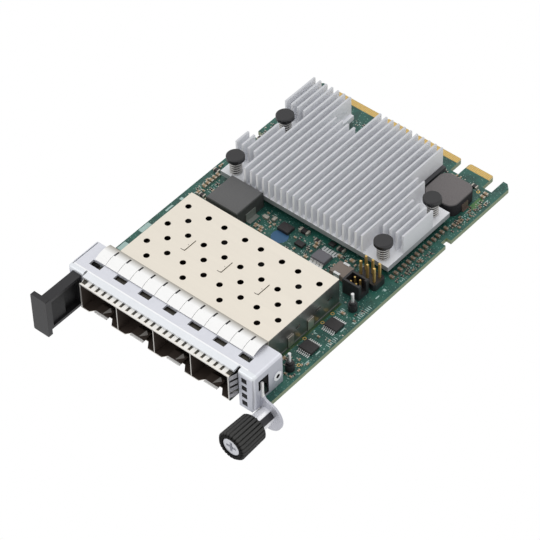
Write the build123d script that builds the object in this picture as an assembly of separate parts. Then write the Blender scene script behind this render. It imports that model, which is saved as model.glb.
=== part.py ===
from build123d import *
import math
import os

os.makedirs("parts", exist_ok=True)

# Frame in millimetres: the origin is on the board's upper face, at the middle of the card edge's tip.
# +X is to the right seen from the ports, +Y runs back to the card edge, +Z is up from the component side.
# A SETBACK is measured back from the board's front edge, an INSET in from the board's side edge.

# Circuit board and card edge
BOARD_WIDTH = 76.0
BOARD_LENGTH = 115.0
BOARD_THICKNESS = 1.57
RAIL_WIDTH = 3.2
RAIL_CHAMFER = 1.6
GUIDE_SLOT_WIDTH = 3.5
CARD_EDGE_DEPTH = 6.0
TONGUE_RADIUS = 0.9
TONGUE_GROUP_COUNTS = (2, 1, 2, 1)
KEY_WIDTHS = (2.7, 2.6, 3.1)
CONTACT_PITCH = 0.6
CONTACT_WIDTH = 0.42
CONTACT_LENGTH = 2.2
CONTACT_THICKNESS = 0.05
CONTACT_SETBACK = 0.15
CONTACT_MARGIN = 0.4
SIDE_NOTCH_Y = -31.3
SIDE_NOTCH_LENGTH = 2.7
SIDE_NOTCH_DEPTH = 1.8
EAR_NOTCH_CLEARANCE = 0.5
# Length by which a cut runs past the face that it opens, and the reach within which corners are picked
CUT = 1.0
NEAR = 0.001
# Sides of the small round pieces and of the holes for them
ROUND_SIDE_COUNT = 14

# Transceiver cage, measured back from its mouth
PORT_PITCH = 14.25
PORT_SIDE_SPACE = 9.0
CAGE_X = -0.3
CAGE_OVERHANG = 4.9
CAGE_LENGTH = 49.2
CAGE_HEIGHT = 9.9
CAGE_SHEET = 0.3
VENT_DIAMETER = 2.0
VENT_SIDE_COUNT = 12
VENT_START = 20.94
VENT_PITCH = 9.25
VENT_ROW_OFFSET = 4.05
VENT_ROW_COUNT = 3
DIVIDER_SLIT_START = 29.5
DIVIDER_SLIT_LENGTH = 5.2
DIVIDER_SLIT_WIDTH = 0.6
DIVIDER_TAB_RISE = 0.25
DIVIDER_TAB_CLEARANCE = 0.15
WALL_SLOT_HEIGHT = 5.2
WALL_SLOT_DEPTHS = (44.6, 39.7, 30.5)
WALL_SLOT_LENGTH = 1.8
WALL_SLOT_WIDTH = 0.6
FLOOR_TAB_DEPTHS = (35.9, 27.0)
FLOOR_TAB_WIDTH = 2.6
FLOOR_TAB_TOP = 4.3
FLOOR_TAB_GAP = 0.05
CAGE_PIN_DEPTHS = (44.75, 31.9, 19.9)
CAGE_PIN_WIDTH = 0.6
CAGE_PIN_BELOW = 0.7
CAGE_PIN_HOLE = 1.1
MOUTH_NOTCH_WIDTH = 9.0
MOUTH_NOTCH_TOP = 5.6
MOUTH_NOTCH_DEPTH = 2.2
MOUTH_TONGUE_WIDTH = 5.0
MOUTH_TONGUE_RISE = 1.6
MOUTH_TONGUE_LENGTH = 3.4
MOUTH_TONGUE_LIP = 2.1
MOUTH_TONGUE_FALL = 0.4
MOUTH_TONGUE_BEND = 0.8

# Port connectors at the back of the cage
CONNECTOR_WIDTH = 11.0
CONNECTOR_LENGTH = 9.6
CONNECTOR_HEIGHT = 6.2
CONNECTOR_BEVEL = 1.2
CONNECTOR_BACK_GAP = 1.2
CONNECTOR_SLOT_WIDTH = 8.8
CONNECTOR_SLOT_HEIGHT = 1.3
CONNECTOR_SLOT_DEPTH = 6.0
CONNECTOR_SLOT_MID = 3.9
CONNECTOR_FLOOR_CLEARANCE = 0.3

# Spring fingers round the cage mouth
MOUTH_SPRING_SHEET = 0.15
MOUTH_SPRING_BAND = 0.35
MOUTH_SPRING_FLOOR_GAP = 0.4
MOUTH_FINGER_LENGTH = 5.0
MOUTH_FINGER_PITCH = 2.4
MOUTH_FINGER_GAP = 0.9
MOUTH_FINGER_BOW = 0.75
SIDE_FINGER_COUNT = 4
SIDE_FINGER_MID = 5.1

# Front bracket: its sides from the board's edges, its depths from its own front face
BRACKET_SHEET = 0.8
BRACKET_LEFT_INSET = 1.6
BRACKET_RIGHT_INSET = 2.6
BRACKET_TOP = 11.2
BRACKET_OVERHANG = 2.0
BRACKET_DEPTH = 12.4
BRACKET_BOTTOM = -3.5
BRACKET_BEND = 1.0
SEAM_WIDTH = 0.3
SEAM_START = 1.2
LIP_START = 1.7
LIP_OVERHANG = 0.7
LIP_DROP = 0.3
LIP_LEFT_GAP = 0.6
LIP_RIGHT_GAP = 1.0
LEFT_PANEL_WIDTH = 6.1
RIGHT_PANEL_WIDTH = 5.8
BOARD_SEAT_GAP = 0.02
WINDOW_WIDTH = 4.3
WINDOW_DEPTH = 2.1
WINDOW_END = 6.2
LIGHT_WINDOW_INSET = 3.75
LIGHT_WINDOW_SIZE = 2.0
LIGHT_WINDOW_PITCH = 3.1
LIGHT_WINDOW_MID = 3.25
LIGHT_WINDOW_COUNT = 4
SLOT_FRONT_GAP = 0.85
SLOT_BACK_GAP = 2.7
SLOT_TOP = 8.4
SLOT_BOTTOM = 0.8
SLOT_FRONT_DROP = 3.0
EYELET_INSET = 2.4
EYELET_Z = 4.3
EYELET_HOLE = 1.5
EYELET_RING = 3.2
EYELET_RISE = 0.3
FOOT_DEPTH = 4.2
FOOT_REACH = 4.6
FOOT_HOLE = 2.1

# Bracket screws, from below through the board
SCREW_DIAMETER = 2.0
SCREW_HEAD_DIAMETER = 3.8
SCREW_HEAD_HEIGHT = 1.1
SCREW_BOARD_HOLE = 2.4

# Ground fingers on the bracket's flange
STRIP_SHEET = 0.18
STRIP_SIDE_SPACE = 3.9
STRIP_SHIFT = -0.2
STRIP_END_TRIM = 0.7
STRIP_WRAP = 0.5
STRIP_LEG = 3.2
STRIP_SEAT_GAP = 0.02
FINGER_PITCH = 4.8
FINGER_SLIT = 0.14
FINGER_HOOK = 0.62
FINGER_HOOK_LENGTH = 2.1
FINGER_ROOT = 0.8
FINGER_RISE = 1.5
FINGER_HEEL = 1.1
FINGER_CREST = 2.0
FINGER_TIP_GAP = 0.15
FINGER_TIP_INSET = 0.15

# Light pipe behind the indicator windows
PIPE_CLEARANCE = 0.1
PIPE_PLATE = 0.8
PIPE_FOOT_LENGTH = 5.0
PIPE_FOOT_HEIGHT = 3.0
PIPE_WIDTH = 2.8
PIPE_SEAT_GAP = 0.02

# Captive thumbscrew, on an ear of the bracket's right wall
SCREW_AXIS_OUT = 1.9
SCREW_AXIS_Z = -4.9
EAR_DEPTH = 2.8
EAR_RADIUS = 5.6
EAR_STRIP_TOP = 7.4
EAR_STRIP_WIDTH = 0.55
EAR_SWEEP_RADIUS = 2.4
SLEEVE_RADIUS = 2.9
SLEEVE_LENGTH = 8.2
SLEEVE_WALL_GAP = 0.3
SLEEVE_NECK_RADIUS = 2.2
SLEEVE_RIVET = 0.4
SLEEVE_RIVET_RADIUS = 3.1
SLEEVE_EAR_CLEARANCE = 0.03
KNOB_GAP = 5.4
KNOB_RADIUS = 4.95
KNOB_REAR_RADIUS = 4.65
KNOB_LENGTH = 10.4
KNOB_RIB_COUNT = 24
KNOB_RIB_DEPTH = 0.45
KNOB_RIB_WIDTH = 0.75
KNOB_FRONT_EDGE = 0.75
KNOB_REAR_EDGE = 0.4
KNOB_BORE_CLEARANCE = 0.35
KNOB_CAP = 3.4
KNOB_FACE_RADIUS = 3.2
KNOB_FACE_DEPTH = 0.35
SCREW_SHANK_RADIUS = 1.2
SCREW_FIT = 0.06
SCREW_THREAD_RADIUS = 1.5
SCREW_THREAD_LENGTH = 1.7
SCREW_THREAD_GAP = 0.3
SCREW_TIP_EDGE = 0.3
SCREW_HEAD_THICKNESS = 1.9
SCREW_HEAD_EDGE = 0.3
CROSS_WIDTH = 0.9
CROSS_LENGTH = 3.6
CROSS_DEPTH = 1.2
CROSS_TAPER = 12.0
KNOB_SPRING_WIRE = 0.4
KNOB_SPRING_TURN_COUNT = 3

# Pull tab on the bracket's left panel
TAB_INSET = 5.4
TAB_THICKNESS = 3.4
TAB_TOP = 9.9
TAB_BOTTOM = -1.9
TAB_LENGTH = 13.8
TAB_PLATE = 1.6
TAB_PLATE_LEFT = 2.4
TAB_PLATE_RIGHT = 0.3
TAB_PLATE_TOP = 10.9
TAB_PLATE_BOTTOM = -3.7
TAB_PLATE_CORNER = 0.35
TAB_RIM = 1.0
TAB_DEEP_POCKET = 2.2
TAB_DEEP_LENGTH = 5.9
TAB_SHALLOW_POCKET = 0.7
TAB_TONGUE_LENGTH = 2.4
TAB_TONGUE_HEIGHT = 5.0
TAB_TONGUE_WIDTH = 1.8
TAB_TONGUE_CLEARANCE = 0.1

# Heatsink, network chip and push pins
CHIP_SIZE = 25.0
CHIP_LID_SIZE = 21.0
CHIP_LID_CORNER = 1.0
CHIP_SUBSTRATE = 0.9
CHIP_HEIGHT = 1.9
CHIP_SHIFT = -4.7
PAD_THICKNESS = 0.2
PAD_INSET = 1.0
SINK_BASE = 1.8
SINK_SETBACK = 61.4
SINK_BACK = -9.0
SINK_SIDE_GAP = 5.0
FIN_PITCH = 2.4
FIN_THICKNESS = 0.65
FIN_HEIGHT = 7.1
PIN_SIDE = 3.925
PIN_FRONT = 2.7
PIN_BACK = 18.6
PIN_POCKET_X = 5.2
PIN_POCKET_Y = 4.6
REAR_NOTCH_LEFT = -16.7
REAR_NOTCH_RIGHT = -7.2
REAR_NOTCH_LENGTH = 9.8
REAR_NOTCH_STEP = 2.3
COIL_CUT_LEFT = 19.6
COIL_CUT_LENGTH = 15.0
SIDE_CUT_DEPTH = 3.725
SIDE_CUT_LENGTH = 9.4
SIDE_CUT_GAP = 3.6
PIN_HEAD_RADIUS = 2.95
PIN_HEAD_THICKNESS = 1.5
PIN_HEAD_EDGE = 0.35
PIN_HEAD_SIDE_COUNT = 32
PIN_HEAD_TOP = 10.9
PIN_SHAFT_RADIUS = 1.1
PIN_HOLE_RADIUS = 1.6
PIN_BARB_RADIUS = 1.85
PIN_BARB_LENGTH = 2.2
PIN_BARB_STEP = 0.5
PIN_BARB_GAP = 0.1
PIN_TIP_RADIUS = 0.9
PIN_SPLIT = 0.6
SPRING_RADIUS = 1.72
SPRING_WIRE = 0.46
SPRING_TURN_COUNT = 4
SPRING_STEP_COUNT = 10
SPRING_END_GAP = 0.08

# Power inductors and the flat capacitor block
COIL_LEFT_X = -21.05
COIL_LEFT_SETBACK = 54.55
COIL_LEFT_WIDTH = 12.9
COIL_LEFT_LENGTH = 12.2
COIL_LEFT_HEIGHT = 6.1
COIL_LEFT_EDGE = 0.3
COIL_LEFT_CLIP = (4.4, 3.0, 1.5)
COIL_REAR_X = 26.6
COIL_REAR_Y = -16.7
COIL_REAR_SIZE = 12.7
COIL_REAR_HEIGHT = 4.6
COIL_REAR_CORNER = 3.2
COIL_REAR_EDGE = 0.35
COIL_REAR_CLIP = (3.0, 2.6, 0.5)
CLIP_SHEET = 0.25
BLOCK_X = 21.4
BLOCK_SETBACK = 53.8
BLOCK_WIDTH = 5.6
BLOCK_LENGTH = 5.0
BLOCK_HEIGHT = 2.0
BLOCK_EDGE = 0.2
BLOCK_TAB_WIDTH = 2.2
BLOCK_TAB_REACH = 0.8
BLOCK_TAB_OVER = 0.7

# Headers and insulated posts
HEADER_PITCH = 2.54
HEADER_COLUMN_COUNT = 3
HEADER_ROW_COUNT = 2
HEADER_X = 29.9
HEADER_SETBACK = 56.65
HEADER_BASE_HEIGHT = 2.5
HEADER_NOTCH = 0.8
HEADER_PIN_TOP = 8.3
HEADER_PIN_SIZE = 0.64
HEADER_PIN_BELOW = 1.2
HEADER_PIN_CLEARANCE = 0.03
PIN_TIP_CHAMFER = 0.15
SHROUD_X = 29.3
SHROUD_SETBACK = 50.55
SHROUD_WIDTH = 6.2
SHROUD_LENGTH = 4.7
SHROUD_HEIGHT = 5.6
SHROUD_WALL = 0.7
SHROUD_FLOOR = 1.6
SHROUD_PITCH = 2.0
SHROUD_ROW_COUNT = 2
SHROUD_PIN_SIZE = 0.5
SHROUD_PIN_TOP = 5.2
SHROUD_KEY_WIDTH = 2.2
# Inset from the right edge and setback of each post
POST_PLACES = ((4.0, 15.1), (4.9, 44.6))
POST_RADIUS = 1.45
POST_COLLAR_RADIUS = 1.05
POST_COLLAR_HEIGHT = 3.3
POST_HEIGHT = 2.4
POST_PIN_RADIUS = 0.5
POST_PIN_TOP = 6.6
POST_PIN_BELOW = 1.0
POST_FIT = 0.03

# Chips with gull-wing leads
LEAD_SHEET = 0.16
LEAD_FOOT = 0.85
LEAD_SHOULDER = 0.35
LEAD_SLOPE = 0.1
POWER_CHIP_X = 12.95
POWER_CHIP_SETBACK = 54.6
POWER_CHIP_WIDTH = 5.0
POWER_CHIP_LENGTH = 4.0
POWER_CHIP_HEIGHT = 1.6
POWER_LEAD_COUNT = 4
POWER_LEAD_PITCH = 1.27
POWER_LEAD_WIDTH = 1.1
EDGE_CHIP_INSET = 4.9
EDGE_CHIP_SETBACKS = (36.0, 24.7)
EDGE_CHIP_WIDTH = 4.7
EDGE_CHIP_LENGTH = 3.9
EDGE_CHIP_HEIGHT = 1.15
EDGE_LEAD_COUNT = 7
EDGE_LEAD_PITCH = 0.65
EDGE_LEAD_WIDTH = 0.32
CHIP_STANDOFF = 0.1
CHIP_EDGE = 0.12
# Small leadless packages: x, setback, width, length, height
SMALL_CHIPS = ((-3.3, 57.4, 4.2, 3.3, 1.2), (4.1, 55.2, 3.0, 2.0, 0.9), (11.7, 61.2, 2.0, 1.5, 0.9))

# Chip capacitors
CAPACITOR_LENGTH = 1.6
CAPACITOR_WIDTH = 0.85
CAPACITOR_HEIGHT = 0.8
CAPACITOR_END = 0.35
RIGHT_ROW_INSET = 4.1
RIGHT_ROW_SETBACK = 61.8
RIGHT_ROW_STEP = 2.0
RIGHT_ROW_END = -26.5
LEFT_ROW_INSET = 3.4
LEFT_ROW_SETBACK = 55.9
LEFT_ROW_STEP = 1.57
LEFT_ROW_COUNT = 5
REAR_PAIR_INSET = 3.8
REAR_PAIR_Y = (-9.6, -8.0)
# Single capacitors: x, setback
CAPACITOR_SINGLES = ((-10.9, 50.7), (-9.4, 53.1), (8.0, 58.6), (16.6, 58.8), (24.2, 59.4))


def rect(x0, x1, y0, y1):
    return Pos((x0 + x1) / 2, (y0 + y1) / 2) * Rectangle(x1 - x0, y1 - y0)


def plate(outline, z0, z1):
    return extrude(Pos(0, 0, z0) * outline, z1 - z0)


def along_x(profile, x0, x1):
    """Extrude a profile drawn in (Y, Z) from x0 to x1."""
    return extrude(Plane.YZ.offset(x0) * profile, x1 - x0)


def along_y(profile, y0, y1):
    """Extrude a profile drawn in (X, Z) from y0 to y1."""
    return extrude(Plane.XZ.offset(-y1) * profile, y1 - y0)


def bent(points, sheet):
    """Section of a sheet with sharp bends along its middle line."""
    return trace(Polyline(*points), sheet)


def folded(points, sheet, radius):
    """Section of a sheet with rounded bends along its middle line."""
    return trace(FilletPolyline(*points, radius=radius), sheet)


def rod(radius, sides=ROUND_SIDE_COUNT):
    """Section of a small round piece."""
    return RegularPolygon(radius, sides)


def turned(points):
    """Turn a closed (radius, height) outline about Z."""
    return revolve(Plane.XZ * make_face(Polyline(*points, close=True)), Axis.Z)


def spread(count, pitch):
    """Places of a row of pieces about its middle."""
    return [pitch * (i - (count - 1) / 2) for i in range(count)]


def save(name, *shapes):
    solids = [solid for shape in shapes for solid in shape.solids()]
    piece = solids[0] if len(solids) == 1 else Compound(children=solids)
    export_step(piece, f"parts/{name}.step")


half_board = BOARD_WIDTH / 2
board_front = -BOARD_LENGTH

tongue_space = BOARD_WIDTH - 2 * RAIL_WIDTH - 2 * GUIDE_SLOT_WIDTH - sum(KEY_WIDTHS)
tongue_space -= 2 * CONTACT_MARGIN * len(TONGUE_GROUP_COUNTS)
group_size = int(tongue_space / (sum(TONGUE_GROUP_COUNTS) * CONTACT_PITCH))
tongue_contacts = [group_size * group for group in TONGUE_GROUP_COUNTS]

port_count = int((BOARD_WIDTH - 2 * PORT_SIDE_SPACE) / PORT_PITCH)
cage_front = board_front - CAGE_OVERHANG
cage_back = cage_front + CAGE_LENGTH
cage_half = port_count * PORT_PITCH / 2 + CAGE_SHEET / 2
cage_left = CAGE_X - cage_half
cage_right = CAGE_X + cage_half
floor_half = cage_half + FLOOR_TAB_GAP + CAGE_SHEET
port_centres = [CAGE_X + x for x in spread(port_count, PORT_PITCH)]
divider_centres = [CAGE_X + x for x in spread(port_count - 1, PORT_PITCH)]
slit_mid = cage_front + DIVIDER_SLIT_START + DIVIDER_SLIT_LENGTH / 2
connector_y = cage_back - CAGE_SHEET - CONNECTOR_BACK_GAP - CONNECTOR_LENGTH / 2

bracket_left = -half_board + BRACKET_LEFT_INSET
bracket_right = half_board - BRACKET_RIGHT_INSET
bracket_front = board_front - BRACKET_OVERHANG
flange_back = bracket_front + BRACKET_DEPTH
window_back = bracket_front + WINDOW_END
left_panel_edge = bracket_left + LEFT_PANEL_WIDTH
right_panel_edge = bracket_right - RIGHT_PANEL_WIDTH
light_x = bracket_right - LIGHT_WINDOW_INSET
light_heights = [LIGHT_WINDOW_MID + z for z in spread(LIGHT_WINDOW_COUNT, LIGHT_WINDOW_PITCH)]
foot_y = flange_back - FOOT_DEPTH / 2
foot_inset = BRACKET_SHEET + FOOT_REACH / 2
foot_places = [(bracket_left + foot_inset, foot_y), (bracket_right - foot_inset, foot_y)]
finger_count = int((bracket_right - bracket_left - 2 * STRIP_SIDE_SPACE) / FINGER_PITCH)
strip_x = (bracket_left + bracket_right) / 2 + STRIP_SHIFT
finger_centres = [strip_x + x for x in spread(finger_count, FINGER_PITCH)]

screw_x = bracket_right + SCREW_AXIS_OUT
ear_front = bracket_front + EAR_DEPTH
ear_back = ear_front + BRACKET_SHEET
tab_right = bracket_left + TAB_INSET
tab_left = tab_right - TAB_THICKNESS
tab_mid = ((tab_left + tab_right) / 2, (TAB_TOP + TAB_BOTTOM) / 2)

sink_front = board_front + SINK_SETBACK
sink_bottom = CHIP_HEIGHT + PAD_THICKNESS
sink_floor = sink_bottom + SINK_BASE
fin_count = 1 + int((BOARD_WIDTH - 2 * SINK_SIDE_GAP) / FIN_PITCH)
sink_half = (fin_count - 1) * FIN_PITCH / 2 + FIN_THICKNESS / 2
pin_x = sink_half - PIN_SIDE
pin_front_y = sink_front + PIN_FRONT
pin_back_y = SINK_BACK - PIN_BACK
pin_places = [(x, y) for y in (pin_front_y, pin_back_y) for x in (-pin_x, pin_x)]
chip_place = Pos(0, (sink_front + SINK_BACK) / 2 + CHIP_SHIFT)

header_y = board_front + HEADER_SETBACK
header_hole = HEADER_PIN_SIZE + 2 * HEADER_PIN_CLEARANCE
header_places = [
    (HEADER_X + x, header_y + y)
    for x in spread(HEADER_COLUMN_COUNT, HEADER_PITCH)
    for y in spread(HEADER_ROW_COUNT, HEADER_PITCH)
]
shroud_y = board_front + SHROUD_SETBACK
shroud_offsets = spread(SHROUD_ROW_COUNT, SHROUD_PITCH)
shroud_places = [(SHROUD_X + x, shroud_y + y) for x in shroud_offsets for y in shroud_offsets]
post_places = [(half_board - inset, board_front + setback) for inset, setback in POST_PLACES]
edge_chip_places = [(half_board - EDGE_CHIP_INSET, board_front + setback) for setback in EDGE_CHIP_SETBACKS]


def tongue_spans():
    """Left and right edges of the contact tongues, from left to right."""
    spans = []
    right = half_board - RAIL_WIDTH - GUIDE_SLOT_WIDTH
    keys = (*reversed(KEY_WIDTHS), 0)
    for contacts, key in zip(reversed(tongue_contacts), keys):
        left = right - contacts * CONTACT_PITCH - 2 * CONTACT_MARGIN
        spans.append((left, right))
        right = left - key
    return spans[::-1]


def circuit_board():
    outline = rect(-half_board, half_board, board_front, 0)
    edges = [-half_board + RAIL_WIDTH]
    for left, right in tongue_spans():
        edges += [left, right]
    edges.append(half_board - RAIL_WIDTH)
    for left, right in zip(edges[0::2], edges[1::2]):
        outline -= rect(left, right, -CARD_EDGE_DEPTH, CUT)
    for side in (-1, 1):
        outline -= Pos(side * half_board, SIDE_NOTCH_Y) * Rectangle(2 * SIDE_NOTCH_DEPTH, SIDE_NOTCH_LENGTH)
    notch_left = bracket_right - BRACKET_SHEET - EAR_NOTCH_CLEARANCE
    outline -= rect(notch_left, half_board + CUT, board_front - CUT, ear_back + EAR_NOTCH_CLEARANCE)
    tips = outline.vertices().filter_by_position(Axis.Y, -NEAR, NEAR)
    outline = chamfer([v for v in tips if abs(abs(v.X) - half_board) < NEAR], RAIL_CHAMFER)
    tips = outline.vertices().filter_by_position(Axis.Y, -NEAR, NEAR)
    outline = fillet([v for v in tips if abs(v.X) < half_board - RAIL_WIDTH - NEAR], TONGUE_RADIUS)
    for x, y in pin_places:
        outline -= Pos(x, y) * rod(PIN_HOLE_RADIUS)
    for x, y in foot_places:
        outline -= Pos(x, y) * rod(SCREW_BOARD_HOLE / 2)
    for side in (-1, 1):
        for depth in CAGE_PIN_DEPTHS:
            x = CAGE_X + side * (floor_half - CAGE_SHEET / 2)
            outline -= Pos(x, cage_front + depth) * rod(CAGE_PIN_HOLE / 2)
    for x, y in header_places:
        outline -= Pos(x, y) * Rectangle(header_hole, header_hole)
    for x, y in post_places:
        outline -= Pos(x, y) * rod(POST_PIN_RADIUS + POST_FIT)
    return plate(outline, -BOARD_THICKNESS, 0)


def edge_contacts():
    pads = []
    for (left, _), contacts in zip(tongue_spans(), tongue_contacts):
        for i in range(contacts):
            x = left + CONTACT_MARGIN + CONTACT_PITCH * (i + 0.5)
            pad = Pos(x, -CONTACT_SETBACK - CONTACT_LENGTH / 2) * Rectangle(CONTACT_WIDTH, CONTACT_LENGTH)
            pads.append(plate(pad, 0, CONTACT_THICKNESS))
            pads.append(plate(pad, -BOARD_THICKNESS - CONTACT_THICKNESS, -BOARD_THICKNESS))
    return pads


def cage_shell():
    block = Pos(CAGE_X, (cage_front + cage_back) / 2, (CAGE_HEIGHT + CAGE_SHEET) / 2) * Box(
        2 * cage_half, CAGE_LENGTH, CAGE_HEIGHT - CAGE_SHEET
    )
    open_sides = [block.faces().sort_by(Axis.Y)[0], block.faces().sort_by(Axis.Z)[0]]
    shell = offset(block, -CAGE_SHEET, openings=open_sides)
    vent = RegularPolygon(VENT_DIAMETER / 2, VENT_SIDE_COUNT)
    holes = Sketch()
    for x in port_centres:
        for i in range(VENT_ROW_COUNT):
            y = cage_front + VENT_START + i * VENT_PITCH
            holes += Pos(x, y) * vent
            for side in (-1, 1):
                holes += Pos(x + side * VENT_ROW_OFFSET, y + VENT_PITCH / 2) * vent
    for x in divider_centres:
        holes += Pos(x, slit_mid) * Rectangle(DIVIDER_SLIT_WIDTH, DIVIDER_SLIT_LENGTH)
    shell -= plate(holes, CAGE_HEIGHT - 2 * CAGE_SHEET, CAGE_HEIGHT + CUT)
    slots = Sketch()
    for depth in WALL_SLOT_DEPTHS:
        slots += Pos(cage_front + depth, WALL_SLOT_HEIGHT) * Rectangle(WALL_SLOT_LENGTH, WALL_SLOT_WIDTH)
    return shell - along_x(slots, cage_left - CUT, cage_right + CUT)


def cage_floor():
    outline = rect(CAGE_X - floor_half, CAGE_X + floor_half, cage_front, cage_back)
    edge = cage_front + MOUTH_NOTCH_DEPTH
    mouth = make_face(
        Polyline(
            (-MOUTH_NOTCH_WIDTH / 2, cage_front - CAGE_SHEET),
            (-MOUTH_NOTCH_WIDTH / 2, cage_front),
            (-MOUTH_NOTCH_TOP / 2, edge),
            (MOUTH_NOTCH_TOP / 2, edge),
            (MOUTH_NOTCH_WIDTH / 2, cage_front),
            (MOUTH_NOTCH_WIDTH / 2, cage_front - CAGE_SHEET),
            close=True,
        )
    )
    opening = Rectangle(
        CONNECTOR_WIDTH + 2 * CONNECTOR_FLOOR_CLEARANCE, CONNECTOR_LENGTH + 2 * CONNECTOR_FLOOR_CLEARANCE
    )
    for x in port_centres:
        outline -= Pos(x, 0) * mouth
        outline -= Pos(x, connector_y) * opening
    floor = plate(outline, 0, CAGE_SHEET)
    tongue = folded(
        [
            (edge + MOUTH_TONGUE_LENGTH, CAGE_SHEET / 2),
            (edge + MOUTH_TONGUE_LENGTH / 2, MOUTH_TONGUE_RISE),
            (edge - MOUTH_TONGUE_LIP, MOUTH_TONGUE_RISE - MOUTH_TONGUE_FALL),
        ],
        CAGE_SHEET,
        MOUTH_TONGUE_BEND,
    )
    for x in port_centres:
        floor += along_x(tongue, x - MOUTH_TONGUE_WIDTH / 2, x + MOUTH_TONGUE_WIDTH / 2)
    for side in (-1, 1):
        outer = CAGE_X + side * floor_half
        low, high = sorted((outer - side * CAGE_SHEET, outer))
        for depth in FLOOR_TAB_DEPTHS:
            y = cage_front + depth
            tab = rect(low, high, y - FLOOR_TAB_WIDTH / 2, y + FLOOR_TAB_WIDTH / 2)
            floor += plate(tab, 0, FLOOR_TAB_TOP)
        for depth in CAGE_PIN_DEPTHS:
            y = cage_front + depth
            pin = rect(low, high, y - CAGE_PIN_WIDTH / 2, y + CAGE_PIN_WIDTH / 2)
            floor += plate(pin, -BOARD_THICKNESS - CAGE_PIN_BELOW, CAGE_SHEET)
    return floor


def cage_divider(x):
    top = CAGE_HEIGHT - CAGE_SHEET
    tab_half = DIVIDER_SLIT_LENGTH / 2 - DIVIDER_TAB_CLEARANCE
    profile = rect(cage_front, cage_back - CAGE_SHEET, CAGE_SHEET, top)
    profile += rect(slit_mid - tab_half, slit_mid + tab_half, top, CAGE_HEIGHT + DIVIDER_TAB_RISE)
    return along_x(profile, x - CAGE_SHEET / 2, x + CAGE_SHEET / 2)


def port_connector(x):
    front = connector_y - CONNECTOR_LENGTH / 2
    back = connector_y + CONNECTOR_LENGTH / 2
    profile = Polyline(
        (front, 0),
        (back, 0),
        (back, CONNECTOR_HEIGHT - CONNECTOR_BEVEL),
        (back - CONNECTOR_BEVEL, CONNECTOR_HEIGHT),
        (front, CONNECTOR_HEIGHT),
        close=True,
    )
    body = along_x(make_face(profile), x - CONNECTOR_WIDTH / 2, x + CONNECTOR_WIDTH / 2)
    slot = Pos(x, CONNECTOR_SLOT_MID) * Rectangle(CONNECTOR_SLOT_WIDTH, CONNECTOR_SLOT_HEIGHT)
    return body - along_y(slot, front - CUT, front + CONNECTOR_SLOT_DEPTH)


def mouth_springs():
    sheet = MOUTH_SPRING_SHEET
    low = CAGE_SHEET + MOUTH_SPRING_FLOOR_GAP
    band_back = cage_front + MOUTH_SPRING_BAND
    outer = rect(cage_left - sheet, cage_right + sheet, low, CAGE_HEIGHT + sheet)
    inner = rect(cage_left, cage_right, low - CUT, CAGE_HEIGHT)
    springs = along_y(outer - inner, cage_front, band_back)
    width = MOUTH_FINGER_PITCH - MOUTH_FINGER_GAP
    finger_back = band_back + MOUTH_FINGER_LENGTH
    for offset_x in spread(int(2 * cage_half / MOUTH_FINGER_PITCH), MOUTH_FINGER_PITCH):
        x = CAGE_X + offset_x
        finger = rect(x - width / 2, x + width / 2, cage_front, finger_back)
        springs += plate(finger, CAGE_HEIGHT, CAGE_HEIGHT + sheet)
    for side in (-1, 1):
        wall = CAGE_X + side * (cage_half + sheet / 2)
        bow = bent(
            [
                (wall, cage_front),
                (wall, band_back),
                (wall + side * MOUTH_FINGER_BOW, band_back + MOUTH_FINGER_LENGTH / 2),
                (wall + side * sheet, finger_back),
            ],
            sheet,
        )
        for z in spread(SIDE_FINGER_COUNT, MOUTH_FINGER_PITCH):
            springs += plate(bow, SIDE_FINGER_MID + z - width / 2, SIDE_FINGER_MID + z + width / 2)
    return springs


def screw_ear():
    """Rounded ear bent out of the right wall, with a strip that rises into the wall's slot."""
    wall = bracket_right - BRACKET_SHEET
    strip_edge = bracket_right + EAR_STRIP_WIDTH
    outline = rect(wall, strip_edge, BRACKET_BOTTOM, EAR_STRIP_TOP)
    outline += Pos(screw_x, SCREW_AXIS_Z) * Circle(EAR_RADIUS)
    outline -= rect(wall - 2 * EAR_RADIUS, wall, SCREW_AXIS_Z - 2 * EAR_RADIUS, EAR_STRIP_TOP)
    crotch = [v for v in outline.vertices() if abs(v.X - strip_edge) < NEAR]
    outline = fillet(min(crotch, key=lambda v: v.Y), EAR_SWEEP_RADIUS)
    outline -= Pos(screw_x, SCREW_AXIS_Z) * Circle(SLEEVE_NECK_RADIUS + SLEEVE_EAR_CLEARANCE)
    return along_y(outline, ear_front, ear_back)


def bracket_sheet():
    """Folded sheet open at the back and below, with rounded bends."""
    outline = rect(bracket_left, bracket_right, bracket_front, flange_back)
    block = plate(outline, BRACKET_BOTTOM, BRACKET_TOP)
    bends = [
        edge
        for edge in block.edges()
        if edge.center().Y < flange_back - NEAR and edge.center().Z > BRACKET_BOTTOM + NEAR
    ]
    block = fillet(bends, BRACKET_BEND)
    open_sides = [block.faces().sort_by(Axis.Y)[-1], block.faces().sort_by(Axis.Z)[0]]
    return offset(block, -BRACKET_SHEET, openings=open_sides)


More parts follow.
